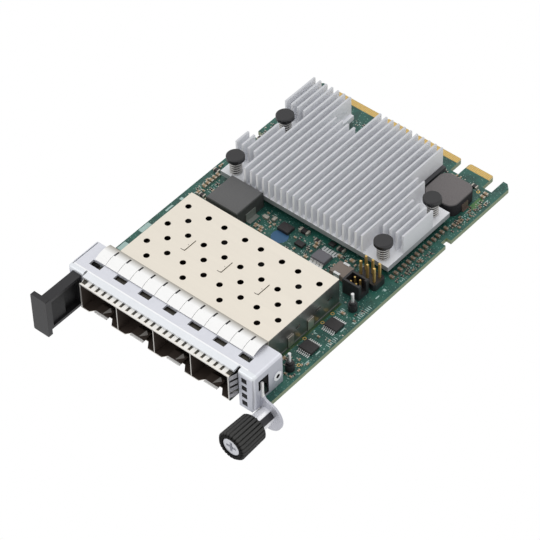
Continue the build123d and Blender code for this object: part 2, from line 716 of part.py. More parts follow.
def bracket():
    sheet = BRACKET_SHEET
    seat = BOARD_SEAT_GAP
    mid_top = BRACKET_TOP - sheet / 2
    body = bracket_sheet()
    lip_bend = bracket_front + LIP_START
    cuts = rect(left_panel_edge, right_panel_edge, bracket_front - CUT, lip_bend)
    for x in finger_centres[::2]:
        cuts += rect(x - WINDOW_WIDTH / 2, x + WINDOW_WIDTH / 2, window_back - WINDOW_DEPTH, window_back)
    body -= plate(cuts, BRACKET_BOTTOM - CUT, BRACKET_TOP + CUT)
    seam = bracket_left + sheet
    slit = rect(seam, seam + SEAM_WIDTH, bracket_front + SEAM_START, flange_back + CUT)
    body -= plate(slit, mid_top - sheet, BRACKET_TOP + CUT)
    lip = folded(
        [
            (lip_bend + sheet, mid_top),
            (lip_bend, mid_top),
            (bracket_front - LIP_OVERHANG, mid_top - LIP_DROP),
        ],
        sheet,
        BRACKET_BEND,
    )
    body += along_x(lip, left_panel_edge + LIP_LEFT_GAP, right_panel_edge - LIP_RIGHT_GAP)
    below_left = rect(board_front - EAR_NOTCH_CLEARANCE, flange_back + CUT, BRACKET_BOTTOM - CUT, seat)
    body -= along_x(below_left, bracket_left - CUT, 0)
    below_right = rect(ear_back, flange_back + CUT, BRACKET_BOTTOM - CUT, seat)
    body -= along_x(below_right, 0, bracket_right + CUT)
    foot_front = flange_back - FOOT_DEPTH
    feet = rect(bracket_left + sheet / 2, bracket_left + sheet + FOOT_REACH, foot_front, flange_back)
    feet += rect(bracket_right - sheet - FOOT_REACH, bracket_right - sheet / 2, foot_front, flange_back)
    for x, y in foot_places:
        feet -= Pos(x, y) * rod(FOOT_HOLE / 2)
    body += plate(feet, seat, seat + sheet)
    slot_front = ear_front - SLOT_FRONT_GAP
    slot_back = ear_back + SLOT_BACK_GAP
    slot = rect(ear_back, slot_back, SLOT_BOTTOM, SLOT_TOP)
    slot += rect(slot_front, slot_back, EAR_STRIP_TOP, SLOT_TOP)
    slot += rect(slot_front, ear_front, EAR_STRIP_TOP - SLOT_FRONT_DROP, SLOT_TOP)
    body -= along_x(slot, bracket_right - 2 * sheet, bracket_right + CUT)
    relief = Pos(screw_x, SCREW_AXIS_Z) * Circle(SLEEVE_RADIUS + SLEEVE_WALL_GAP)
    body -= along_y(relief, bracket_front - CUT, ear_front)
    body += screw_ear()
    eyelet = Pos(flange_back - EYELET_INSET, EYELET_Z)
    body += along_x(eyelet * Circle(EYELET_RING / 2), bracket_right - sheet, bracket_right + EYELET_RISE)
    body -= along_x(eyelet * Circle(EYELET_HOLE / 2), bracket_right - 2 * sheet, bracket_right + CUT)
    panel_holes = Sketch()
    for z in light_heights:
        panel_holes += Pos(light_x, z) * Rectangle(LIGHT_WINDOW_SIZE, LIGHT_WINDOW_SIZE)
    gap = TAB_TONGUE_CLEARANCE
    panel_holes += Pos(*tab_mid) * Rectangle(TAB_TONGUE_WIDTH + 2 * gap, TAB_TONGUE_HEIGHT + 2 * gap)
    return body - along_y(panel_holes, bracket_front - CUT, bracket_front + 2 * sheet)


def bracket_screw(x, y):
    under = -BOARD_THICKNESS
    head = plate(rod(SCREW_HEAD_DIAMETER / 2), under - SCREW_HEAD_HEIGHT, under)
    shank = plate(rod(SCREW_DIAMETER / 2), under, BOARD_SEAT_GAP + BRACKET_SHEET)
    return Pos(x, y) * (head + shank)


def ground_fingers():
    sheet = STRIP_SHEET
    under = BRACKET_TOP - BRACKET_SHEET - sheet / 2 - STRIP_SEAT_GAP
    back = flange_back + STRIP_WRAP
    heel = BRACKET_TOP + FINGER_HEEL
    leg = bent([(flange_back - STRIP_LEG, under), (back, under), (back, heel)], sheet)
    arch = ThreePointArc(
        (back, heel - sheet / 2),
        (flange_back - FINGER_CREST, BRACKET_TOP + FINGER_RISE),
        (window_back + FINGER_TIP_INSET, BRACKET_TOP + FINGER_TIP_GAP + sheet / 2),
    )
    end_half = FINGER_PITCH / 2 - STRIP_END_TRIM
    left = finger_centres[0] - end_half
    right = finger_centres[-1] + end_half
    strip = along_x(leg, left, right) + along_x(trace(arch, sheet), left, right)
    root = back - FINGER_ROOT
    slit = rect(window_back - CUT, root, BRACKET_TOP, BRACKET_TOP + 2 * FINGER_RISE)
    hook = rect(root - FINGER_HOOK_LENGTH, root, BRACKET_TOP, BRACKET_TOP + 2 * FINGER_RISE)
    for x in finger_centres[1:]:
        edge = x - FINGER_PITCH / 2
        strip -= along_x(slit, edge - FINGER_SLIT / 2, edge + FINGER_SLIT / 2)
        strip -= along_x(hook, edge - FINGER_SLIT / 2, edge - FINGER_SLIT / 2 + FINGER_HOOK)
    return strip


def light_pipe():
    back = bracket_front + BRACKET_SHEET
    prong = LIGHT_WINDOW_SIZE - 2 * PIPE_CLEARANCE
    low = light_heights[0] - LIGHT_WINDOW_SIZE / 2
    high = light_heights[-1] + LIGHT_WINDOW_SIZE / 2
    profile = Polyline(
        (back, low),
        (back + PIPE_PLATE, low),
        (back + PIPE_PLATE, PIPE_SEAT_GAP),
        (back + PIPE_PLATE + PIPE_FOOT_LENGTH, PIPE_SEAT_GAP),
        (back + PIPE_PLATE + PIPE_FOOT_LENGTH, PIPE_FOOT_HEIGHT),
        (back + PIPE_PLATE + PIPE_FOOT_LENGTH / 2, high),
        (back, high),
        close=True,
    )
    pipe = along_x(make_face(profile), light_x - PIPE_WIDTH / 2, light_x + PIPE_WIDTH / 2)
    for z in light_heights:
        end = Pos(light_x, z) * Rectangle(prong, prong)
        pipe += along_y(end, bracket_front + PIPE_CLEARANCE, back + PIPE_CLEARANCE)
    return pipe


def pull_tab():
    front = bracket_front - TAB_LENGTH
    body = along_x(rect(front, bracket_front, TAB_BOTTOM, TAB_TOP), tab_left, tab_right)
    end = rect(tab_left - TAB_PLATE_LEFT, tab_right + TAB_PLATE_RIGHT, TAB_PLATE_BOTTOM, TAB_PLATE_TOP)
    body += along_y(fillet(end.vertices(), TAB_PLATE_CORNER), front - TAB_PLATE, front)
    pocket_low = TAB_BOTTOM + TAB_RIM
    pocket_high = TAB_TOP - TAB_RIM
    split = bracket_front - TAB_RIM - TAB_DEEP_LENGTH
    deep = rect(split, bracket_front - TAB_RIM, pocket_low, pocket_high)
    body -= along_x(deep, tab_right - TAB_DEEP_POCKET, tab_right + CUT)
    shallow = rect(front + TAB_RIM, split, pocket_low, pocket_high)
    body -= along_x(shallow, tab_right - TAB_SHALLOW_POCKET, tab_right + CUT)
    tongue = Pos(*tab_mid) * Rectangle(TAB_TONGUE_WIDTH, TAB_TONGUE_HEIGHT)
    return body + along_y(tongue, bracket_front - TAB_RIM, bracket_front + TAB_TONGUE_LENGTH)


# Heights along the thumbscrew's axis grow towards the front
rivet_back = -ear_back - SLEEVE_RIVET
sleeve_front = -ear_front + SLEEVE_LENGTH
screw_shoulder = rivet_back - SCREW_THREAD_GAP
screw_tip = screw_shoulder - SCREW_THREAD_LENGTH
knob_back = -ear_front + KNOB_GAP
knob_front = knob_back + KNOB_LENGTH
knob_seat = knob_front - KNOB_CAP
head_front = knob_front - KNOB_FACE_DEPTH
head_back = head_front - SCREW_HEAD_THICKNESS
knob_bore = SLEEVE_RADIUS + KNOB_BORE_CLEARANCE


def about_screw(shape):
    """Set a piece turned about Z on the thumbscrew's axis, its +Z pointing along -Y."""
    return Pos(screw_x, 0, SCREW_AXIS_Z) * (Rot(90, 0, 0) * shape)


def thumbscrew_sleeve():
    bore = SCREW_SHANK_RADIUS + SCREW_FIT
    profile = [
        (bore, rivet_back),
        (SLEEVE_RIVET_RADIUS, rivet_back),
        (SLEEVE_RIVET_RADIUS, -ear_back),
        (SLEEVE_NECK_RADIUS, -ear_back),
        (SLEEVE_NECK_RADIUS, -ear_front),
        (SLEEVE_RADIUS, -ear_front),
        (SLEEVE_RADIUS, sleeve_front),
        (bore, sleeve_front),
    ]
    return about_screw(turned(profile))


def ribbed(radius, height):
    """Section of the knob: a flat on each rib, and a sharp groove between ribs."""
    turn = 2 * math.pi / KNOB_RIB_COUNT
    half_flat = KNOB_RIB_WIDTH / 2 / KNOB_RADIUS
    points = []
    for i in range(KNOB_RIB_COUNT):
        angles = (i * turn - half_flat, i * turn + half_flat, (i + 0.5) * turn)
        for angle, reach in zip(angles, (radius, radius, radius - KNOB_RIB_DEPTH)):
            points.append((reach * math.cos(angle), reach * math.sin(angle)))
    return Pos(0, 0, height) * make_face(Polyline(*points, close=True))


def thumbscrew_knob():
    grip = loft(
        [
            ribbed(KNOB_REAR_RADIUS - KNOB_REAR_EDGE, knob_back),
            ribbed(KNOB_REAR_RADIUS, knob_back + KNOB_REAR_EDGE),
            ribbed(KNOB_RADIUS, knob_front - KNOB_FRONT_EDGE),
            ribbed(KNOB_RADIUS - KNOB_FRONT_EDGE, knob_front),
        ],
        ruled=True,
    )
    hollow = [
        (0, knob_back - CUT),
        (knob_bore, knob_back - CUT),
        (knob_bore, knob_seat),
        (SCREW_SHANK_RADIUS, knob_seat),
        (SCREW_SHANK_RADIUS, head_back),
        (KNOB_FACE_RADIUS, head_back),
        (KNOB_FACE_RADIUS, knob_front + CUT),
        (0, knob_front + CUT),
    ]
    return about_screw(grip - turned(hollow))


def thumbscrew_screw():
    profile = [
        (0, screw_tip),
        (SCREW_THREAD_RADIUS - SCREW_TIP_EDGE, screw_tip),
        (SCREW_THREAD_RADIUS, screw_tip + SCREW_TIP_EDGE),
        (SCREW_THREAD_RADIUS, screw_shoulder),
        (SCREW_SHANK_RADIUS, screw_shoulder),
        (SCREW_SHANK_RADIUS, head_back),
        (KNOB_FACE_RADIUS, head_back),
        (KNOB_FACE_RADIUS, head_front - SCREW_HEAD_EDGE),
        (KNOB_FACE_RADIUS - SCREW_HEAD_EDGE, head_front),
        (0, head_front),
    ]
    cross = Rectangle(CROSS_LENGTH, CROSS_WIDTH) + Rectangle(CROSS_WIDTH, CROSS_LENGTH)
    recess = extrude(Pos(0, 0, head_front) * cross, -CROSS_DEPTH, taper=CROSS_TAPER)
    return about_screw(turned(profile) - recess)


def coil_spring(radius, wire, turns, length):
    """Spring of square-sided wire standing on Z = 0."""
    rise = length - wire
    steps = turns * SPRING_STEP_COUNT
    points = []
    for i in range(steps + 1):
        angle = 2 * math.pi * i / SPRING_STEP_COUNT
        points.append((radius * math.cos(angle), radius * math.sin(angle), wire / 2 + rise * i / steps))
    path = Polyline(*points)
    section = Plane(path @ 0, z_dir=path % 0) * RegularPolygon(wire / 2, 4)
    return sweep(section, path=path, transition=Transition.RIGHT)


def thumbscrew_spring():
    start = sleeve_front + SPRING_END_GAP
    end = knob_seat - SPRING_END_GAP
    radius = (SCREW_SHANK_RADIUS + knob_bore) / 2
    spring = coil_spring(radius, KNOB_SPRING_WIRE, KNOB_SPRING_TURN_COUNT, end - start)
    return about_screw(Pos(0, 0, start) * spring)


def heatsink():
    notch_front = SINK_BACK - REAR_NOTCH_LENGTH
    side_cut_back = pin_back_y - SIDE_CUT_GAP
    coil_cut = rect(COIL_CUT_LEFT, sink_half + CUT, SINK_BACK - COIL_CUT_LENGTH, SINK_BACK + CUT)
    side_cut_front = side_cut_back - SIDE_CUT_LENGTH
    side_cut = rect(-sink_half - CUT, -sink_half + SIDE_CUT_DEPTH, side_cut_front, side_cut_back)
    outline = rect(-sink_half, sink_half, sink_front, SINK_BACK) - coil_cut - side_cut
    outline -= rect(REAR_NOTCH_LEFT, REAR_NOTCH_RIGHT, notch_front + REAR_NOTCH_STEP, SINK_BACK + CUT)
    for x, y in pin_places:
        outline -= Pos(x, y) * rod(PIN_HOLE_RADIUS)
    fins = Sketch()
    for x in spread(fin_count, FIN_PITCH):
        fins += rect(x - FIN_THICKNESS / 2, x + FIN_THICKNESS / 2, sink_front, SINK_BACK)
    fins -= coil_cut
    fins -= side_cut
    fins -= rect(REAR_NOTCH_LEFT, REAR_NOTCH_RIGHT, notch_front, SINK_BACK + CUT)
    for side in (-1, 1):
        inner, outer = sorted((side * (pin_x - PIN_POCKET_X), side * (sink_half + CUT)))
        fins -= rect(inner, outer, sink_front - CUT, pin_front_y + PIN_POCKET_Y)
        fins -= rect(inner, outer, pin_back_y - PIN_POCKET_Y, pin_back_y + PIN_POCKET_Y)
    return plate(outline, sink_bottom, sink_floor) + plate(fins, sink_floor, sink_floor + FIN_HEIGHT)


def network_chip():
    chip = plate(chip_place * Rectangle(CHIP_SIZE, CHIP_SIZE), 0, CHIP_SUBSTRATE)
    lid = chamfer(Rectangle(CHIP_LID_SIZE, CHIP_LID_SIZE).vertices(), CHIP_LID_CORNER)
    return chip + plate(chip_place * lid, CHIP_SUBSTRATE, CHIP_HEIGHT)


def thermal_pad():
    side = CHIP_LID_SIZE - 2 * PAD_INSET
    return plate(chip_place * Rectangle(side, side), CHIP_HEIGHT, sink_bottom)


def push_pin(x, y):
    shoulder = -BOARD_THICKNESS - PIN_BARB_GAP
    barb = shoulder - PIN_BARB_STEP
    tip = shoulder - PIN_BARB_LENGTH
    head_under = PIN_HEAD_TOP - PIN_HEAD_THICKNESS
    pin = plate(rod(PIN_HEAD_RADIUS, PIN_HEAD_SIDE_COUNT), head_under, PIN_HEAD_TOP)
    pin = chamfer(pin.faces().sort_by(Axis.Z)[-1].edges(), PIN_HEAD_EDGE)
    pin += plate(rod(PIN_SHAFT_RADIUS), shoulder, head_under)
    pin += plate(rod(PIN_BARB_RADIUS), barb, shoulder)
    pin += loft([Pos(0, 0, tip) * rod(PIN_TIP_RADIUS), Pos(0, 0, barb) * rod(PIN_BARB_RADIUS)], ruled=True)
    split = Rectangle(PIN_SPLIT, 3 * PIN_BARB_RADIUS)
    return Pos(x, y) * (pin - plate(split, tip - CUT, 0))


def pin_spring(x, y):
    start = sink_floor + SPRING_END_GAP
    end = PIN_HEAD_TOP - PIN_HEAD_THICKNESS - SPRING_END_GAP
    return Pos(x, y, start) * coil_spring(SPRING_RADIUS, SPRING_WIRE, SPRING_TURN_COUNT, end - start)


def inductor_left():
    body = Pos(COIL_LEFT_X, board_front + COIL_LEFT_SETBACK, COIL_LEFT_HEIGHT / 2) * Box(
        COIL_LEFT_WIDTH - 2 * CLIP_SHEET, COIL_LEFT_LENGTH, COIL_LEFT_HEIGHT
    )
    return chamfer(body.faces().sort_by(Axis.Z)[-1].edges(), COIL_LEFT_EDGE)


def side_clips(x, y, size, clip):
    """Bent terminals on a part's left and right faces, with their feet on the board."""
    width, height, foot = clip
    mid = CLIP_SHEET / 2
    clips = []
    for side in (-1, 1):
        face = x + side * (size / 2 - mid)
        profile = bent([(face, height), (face, mid), (face + side * (foot + mid), mid)], CLIP_SHEET)
        clips.append(along_y(profile, y - width / 2, y + width / 2))
    return clips


def inductor_rear():
    size = COIL_REAR_SIZE - 2 * CLIP_SHEET
    foot = Pos(COIL_REAR_X, COIL_REAR_Y) * RectangleRounded(size, size, COIL_REAR_CORNER)
    body = plate(foot, 0, COIL_REAR_HEIGHT)
    return chamfer(body.faces().sort_by(Axis.Z)[-1].edges(), COIL_REAR_EDGE)


block_y = board_front + BLOCK_SETBACK


def capacitor_block():
    body = Pos(BLOCK_X, block_y, BLOCK_HEIGHT / 2) * Box(BLOCK_WIDTH, BLOCK_LENGTH, BLOCK_HEIGHT)
    return chamfer(body.edges().filter_by(Axis.Y).sort_by(Axis.Z)[-2:], BLOCK_EDGE)


def capacitor_block_terminals():
    """Clips that run from the board up the block's ends and over its top."""
    mid = CLIP_SHEET / 2
    tabs = []
    for side in (-1, 1):
        face = block_y + side * (BLOCK_LENGTH / 2 + mid)
        profile = bent(
            [
                (face - side * BLOCK_TAB_OVER, BLOCK_HEIGHT + mid),
                (face, BLOCK_HEIGHT + mid),
                (face, mid),
                (face + side * BLOCK_TAB_REACH, mid),
            ],
            CLIP_SHEET,
        )
        tabs.append(along_x(profile, BLOCK_X - BLOCK_TAB_WIDTH / 2, BLOCK_X + BLOCK_TAB_WIDTH / 2))
    return tabs


def header_base():
    width = HEADER_COLUMN_COUNT * HEADER_PITCH
    length = HEADER_ROW_COUNT * HEADER_PITCH
    outline = Pos(HEADER_X, header_y) * Rectangle(width, length)
    for x in spread(HEADER_COLUMN_COUNT + 1, HEADER_PITCH):
        for side in (-1, 1):
            corner = Rot(0, 0, 45) * Rectangle(HEADER_NOTCH, HEADER_NOTCH)
            outline -= Pos(HEADER_X + x, header_y + side * length / 2) * corner
    for x, y in header_places:
        outline -= Pos(x, y) * Rectangle(header_hole, header_hole)
    return plate(outline, 0, HEADER_BASE_HEIGHT)


def square_pin(x, y, size, low, high):
    pin = plate(Pos(x, y) * Rectangle(size, size), low, high)
    return chamfer(pin.faces().sort_by(Axis.Z)[-1].edges(), PIN_TIP_CHAMFER)


def header_pins():
    low = -BOARD_THICKNESS - HEADER_PIN_BELOW
    return [square_pin(x, y, HEADER_PIN_SIZE, low, HEADER_PIN_TOP) for x, y in header_places]


def shroud_shell():
    place = Pos(SHROUD_X, shroud_y)
    inner = place * Rectangle(SHROUD_WIDTH - 2 * SHROUD_WALL, SHROUD_LENGTH - 2 * SHROUD_WALL)
    shell = plate(place * Rectangle(SHROUD_WIDTH, SHROUD_LENGTH), 0, SHROUD_HEIGHT)
    shell -= plate(inner, SHROUD_FLOOR, SHROUD_HEIGHT + CUT)
    key_low = shroud_y - SHROUD_KEY_WIDTH / 2
    key = rect(key_low, key_low + SHROUD_KEY_WIDTH, SHROUD_FLOOR, SHROUD_HEIGHT + CUT)
    return shell - along_x(key, SHROUD_X, SHROUD_X + SHROUD_WIDTH)


def shroud_pins():
    return [square_pin(x, y, SHROUD_PIN_SIZE, SHROUD_FLOOR, SHROUD_PIN_TOP) for x, y in shroud_places]


def post_insulator(x, y):
    body = plate(rod(POST_RADIUS), 0, POST_HEIGHT)
    body += plate(rod(POST_COLLAR_RADIUS), POST_HEIGHT, POST_COLLAR_HEIGHT)
    bore = plate(rod(POST_PIN_RADIUS + POST_FIT), -CUT, POST_COLLAR_HEIGHT + CUT)
    return Pos(x, y) * (body - bore)


def post_pin(x, y):
    return Pos(x, y) * plate(rod(POST_PIN_RADIUS), -BOARD_THICKNESS - POST_PIN_BELOW, POST_PIN_TOP)


def chip_body(x, y, width, length, height):
    body = Pos(x, y, (CHIP_STANDOFF + height) / 2) * Box(width, length, height - CHIP_STANDOFF)
    return chamfer(body.faces().sort_by(Axis.Z)[-1].edges(), CHIP_EDGE)


def chip_leads(x, y, length, height, count, pitch, width):
    """Gull-wing leads on a chip's front and back faces."""
    leads = []
    mid = LEAD_SHEET / 2
    for side in (-1, 1):
        face = y + side * length / 2
        toe = face + side * (LEAD_SHOULDER + LEAD_SLOPE)
        profile = bent(
            [
                (face, height / 2),
                (face + side * LEAD_SHOULDER, height / 2),
                (toe, mid),
                (toe + side * LEAD_FOOT, mid),
            ],
            LEAD_SHEET,
        )
        for offset_x in spread(count, pitch):
            leads.append(along_x(profile, x + offset_x - width / 2, x + offset_x + width / 2))
    return leads


def capacitor_places():
    places = [(x, board_front + setback) for x, setback in CAPACITOR_SINGLES]
    places += [(half_board - REAR_PAIR_INSET, y) for y in REAR_PAIR_Y]
    left_start = board_front + LEFT_ROW_SETBACK
    places += [(-half_board + LEFT_ROW_INSET, left_start + i * LEFT_ROW_STEP) for i in range(LEFT_ROW_COUNT)]
    right_start = board_front + RIGHT_ROW_SETBACK
    right_count = int((RIGHT_ROW_END - right_start) / RIGHT_ROW_STEP) + 1
    places += [(half_board - RIGHT_ROW_INSET, right_start + i * RIGHT_ROW_STEP) for i in range(right_count)]
    return places


def capacitor_body(x, y):
    width = CAPACITOR_LENGTH - 2 * CAPACITOR_END
    return Pos(x, y, CAPACITOR_HEIGHT / 2) * Box(width, CAPACITOR_WIDTH, CAPACITOR_HEIGHT)


def capacitor_ends(x, y):
    reach = CAPACITOR_LENGTH / 2 - CAPACITOR_END / 2
    cap = Box(CAPACITOR_END, CAPACITOR_WIDTH, CAPACITOR_HEIGHT)
    return [Pos(x + side * reach, y, CAPACITOR_HEIGHT / 2) * cap for side in (-1, 1)]


save("circuit_board", circuit_board())
save("edge_contacts", *edge_contacts())
save("cage_shell", cage_shell())
save("cage_floor", cage_floor())
for number, place in enumerate(divider_centres, 1):
    save(f"cage_divider_{number}", cage_divider(place))
for number, place in enumerate(port_centres, 1):
    save(f"port_connector_{number}", port_connector(place))
save("mouth_springs", mouth_springs())
save("bracket", bracket())
save("bracket_screws", *[bracket_screw(x, y) for x, y in foot_places])
save("ground_fingers", ground_fingers())
save("light_pipe", light_pipe())
save("pull_tab", pull_tab())
save("thumbscrew_sleeve", thumbscrew_sleeve())
save("thumbscrew_knob", thumbscrew_knob())
save("thumbscrew_screw", thumbscrew_screw())
save("thumbscrew_spring", thumbscrew_spring())
save("heatsink", heatsink())
save("network_chip", network_chip())
save("thermal_pad", thermal_pad())
for number, (x, y) in enumerate(pin_places, 1):
    save(f"push_pin_{number}", push_pin(x, y))
    save(f"pin_spring_{number}", pin_spring(x, y))
save("inductor_left", inductor_left())
left_clips = side_clips(COIL_LEFT_X, board_front + COIL_LEFT_SETBACK, COIL_LEFT_WIDTH, COIL_LEFT_CLIP)
save("inductor_left_terminals", *left_clips)
save("inductor_rear", inductor_rear())
save("inductor_rear_terminals", *side_clips(COIL_REAR_X, COIL_REAR_Y, COIL_REAR_SIZE, COIL_REAR_CLIP))
save("capacitor_block", capacitor_block())
save("capacitor_block_terminals", *capacitor_block_terminals())
save("header_base", header_base())
save("header_pins", *header_pins())
save("shroud_shell", shroud_shell())
save("shroud_pins", *shroud_pins())
save("post_insulators", *[post_insulator(x, y) for x, y in post_places])
save("post_pins", *[post_pin(x, y) for x, y in post_places])
power_chip = (POWER_CHIP_X, board_front + POWER_CHIP_SETBACK)
save("power_chip", chip_body(*power_chip, POWER_CHIP_WIDTH, POWER_CHIP_LENGTH, POWER_CHIP_HEIGHT))
power_leads = (POWER_LEAD_COUNT, POWER_LEAD_PITCH, POWER_LEAD_WIDTH)
save("power_chip_leads", *chip_leads(*power_chip, POWER_CHIP_LENGTH, POWER_CHIP_HEIGHT, *power_leads))
edge_leads = (EDGE_LEAD_COUNT, EDGE_LEAD_PITCH, EDGE_LEAD_WIDTH)
edge_bodies = []
edge_wings = []
for place in edge_chip_places:
    edge_bodies.append(chip_body(*place, EDGE_CHIP_WIDTH, EDGE_CHIP_LENGTH, EDGE_CHIP_HEIGHT))
    edge_wings += chip_leads(*place, EDGE_CHIP_LENGTH, EDGE_CHIP_HEIGHT, *edge_leads)
save("edge_chips", *edge_bodies)
save("edge_chip_leads", *edge_wings)
save("small_chips", *[chip_body(x, board_front + setback, *size) for x, setback, *size in SMALL_CHIPS])
save("capacitors", *[capacitor_body(x, y) for x, y in capacitor_places()])
end_caps = []
for x, y in capacitor_places():
    end_caps += capacitor_ends(x, y)
save("capacitor_ends", *end_caps)
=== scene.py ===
# %% [markdown]
# # Mezzanine network card
# A small server card: a board with gold contacts at the rear, a cage for four transceivers at the front,
# a folded bracket with a captive thumbscrew, and a finned heatsink held by four sprung push pins. The
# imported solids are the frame. Every CAD node stays where it is, and this file gives each one its finish
# and adds what is too fine for the solids. Everything is in metres, in the part's own frame, and MM turns
# millimetres into metres.

# %% Load the frame
import bpy
import math
import random
from mathutils import Matrix, Vector


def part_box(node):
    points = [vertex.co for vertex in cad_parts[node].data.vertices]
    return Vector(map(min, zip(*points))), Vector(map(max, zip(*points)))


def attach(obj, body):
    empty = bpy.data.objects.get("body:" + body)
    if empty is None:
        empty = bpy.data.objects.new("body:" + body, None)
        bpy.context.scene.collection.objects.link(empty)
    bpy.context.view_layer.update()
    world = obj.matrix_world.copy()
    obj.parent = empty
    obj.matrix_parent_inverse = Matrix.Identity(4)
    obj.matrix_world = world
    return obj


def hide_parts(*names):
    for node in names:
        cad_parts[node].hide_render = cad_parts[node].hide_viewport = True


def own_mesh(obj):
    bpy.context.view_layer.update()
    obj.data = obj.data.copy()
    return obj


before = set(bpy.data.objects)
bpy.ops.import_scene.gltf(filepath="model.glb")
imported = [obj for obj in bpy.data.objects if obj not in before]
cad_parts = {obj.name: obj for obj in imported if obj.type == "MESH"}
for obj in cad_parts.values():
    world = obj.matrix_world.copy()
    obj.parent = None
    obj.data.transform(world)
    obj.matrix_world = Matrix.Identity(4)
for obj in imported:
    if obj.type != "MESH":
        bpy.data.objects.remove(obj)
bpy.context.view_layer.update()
MM = 0.001


def box_mm(name):
    """A node's box in millimetres, as its low corner and its high corner."""
    return [Vector(corner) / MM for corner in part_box(name)]


print("nodes loaded:", len(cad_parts))

# %% [markdown]
# ## Camera
# The photo is a long-lens studio shot from the right front corner. A camera could be turned by hand until
# it looks right. Here it was solved from the board's known outline, so that other sizes could be measured
# through it, and it is placed by azimuth, elevation, roll and distance about one point on the board.

# %% Camera
AZIMUTH, ELEVATION, ROLL = math.radians(41.911), math.radians(45.902), math.radians(-2.0)
DISTANCE = 835.13 * MM
TARGET = Vector((3.9, -73.422, 0.0)) * MM
SENSOR_WIDTH, LENS = 36, 187.8
level = Vector((math.cos(AZIMUTH), math.sin(AZIMUTH), 0))
outward = Vector((math.sin(AZIMUTH), -math.cos(AZIMUTH), 0))
back = outward * math.cos(ELEVATION) + Vector((0, 0, math.sin(ELEVATION)))
rise = back.cross(level)
right = level * math.cos(ROLL) + rise * math.sin(ROLL)
up = rise * math.cos(ROLL) - level * math.sin(ROLL)
place = Matrix((right, up, back)).transposed().to_4x4()
place.translation = TARGET + back * DISTANCE
camera = bpy.data.objects.new("camera", bpy.data.cameras.new("camera"))
camera.data.sensor_width = SENSOR_WIDTH
camera.data.lens = LENS
camera.matrix_world = place
bpy.context.collection.objects.link(camera)
bpy.context.scene.camera = camera
bpy.context.scene.view_settings.view_transform = "Standard"
print("camera lens:", camera.data.lens)

# %% [markdown]
# ## World
# The photo is a cut-out on white with soft light all round. A plain white world would light the card too
# flatly, so it is white only where the camera or a reflection looks at it, and for diffuse light it is a
# softer dome, paler above than below.

# %% World
DOME_LOW, DOME_HIGH = 0.55, 0.85


def math_node(nodes, links, operation, a, b=0):
    """A math node's result. Each input is a number or another node's output."""
    node = nodes.new("ShaderNodeMath")
    node.operation = operation
    for socket, value in zip(node.inputs, (a, b)):
        if isinstance(value, (int, float)):
            socket.default_value = value
        else:
            links.new(value, socket)
    return node.outputs[0]


world = bpy.data.worlds.new("studio")
bpy.context.scene.world = world
world.use_nodes = True
nodes, links = world.node_tree.nodes, world.node_tree.links
nodes.clear()
ray = nodes.new("ShaderNodeLightPath")
seen = math_node(nodes, links, "MAXIMUM", ray.outputs["Is Camera Ray"], ray.outputs["Is Glossy Ray"])
seen = math_node(nodes, links, "MAXIMUM", seen, ray.outputs["Is Transmission Ray"])
height = nodes.new("ShaderNodeSeparateXYZ")
links.new(nodes.new("ShaderNodeTexCoord").outputs["Generated"], height.inputs[0])
dome = nodes.new("ShaderNodeMapRange")
dome.inputs["From Min"].default_value = -1
dome.inputs["To Min"].default_value = DOME_LOW
dome.inputs["To Max"].default_value = DOME_HIGH
links.new(height.outputs["Z"], dome.inputs["Value"])
strength = nodes.new("ShaderNodeMix")
links.new(seen, strength.inputs["Factor"])
links.new(dome.outputs["Result"], strength.inputs["A"])
strength.inputs["B"].default_value = 1.0
glow = nodes.new("ShaderNodeBackground")
glow.inputs["Color"].default_value = (1, 1, 1, 1)
links.new(strength.outputs["Result"], glow.inputs["Strength"])
links.new(glow.outputs[0], nodes.new("ShaderNodeOutputWorld").inputs["Surface"])
print("dome strength:", DOME_LOW, "to", DOME_HIGH)

# %% [markdown]
# ## Lamps
# The tops of the card are a little lighter than its sides. One small strong lamp would throw hard shadows
# that the photo doesn't have, so two broad area lamps are used, hardly brighter than the dome: one above
# and behind the card, one in front of it.

# %% Lamps
LAMP_SIZE, LAMP_POWER = 0.6, 1.1


def lamp(name, position):
    light = bpy.data.lights.new(name, "AREA")
    light.size = LAMP_SIZE
    light.energy = LAMP_POWER
    holder = bpy.data.objects.new(name, light)
    holder.location = position
    holder.rotation_euler = (TARGET - Vector(position)).to_track_quat("-Z", "Y").to_euler()
    bpy.context.collection.objects.link(holder)


lamp("top softbox", (0.1, 0.1, 0.9))
lamp("front softbox", (-0.25, -0.85, 0.35))
print("lamps:", len(bpy.data.lights))

# %% [markdown]
# ## Grain
# No surface on the card is one flat colour. Moulded plastic has a fine grain, and rolled sheet is
# streaked one way. Both could be drawn in each material anew, but a node group is built once and placed
# with other values. Mottle varies a colour and its roughness with fine noise, and Brush does so with
# noise stretched along an axis. They give out values only, and the shader stays in each material.

# %% Grain groups
NOISE_DETAIL = 4


def vector_node(nodes, links, operation, a, b):
    node = nodes.new("ShaderNodeVectorMath")
    node.operation = operation
    links.new(a, node.inputs[0])
    links.new(b, node.inputs[1])
    return node.outputs[0]


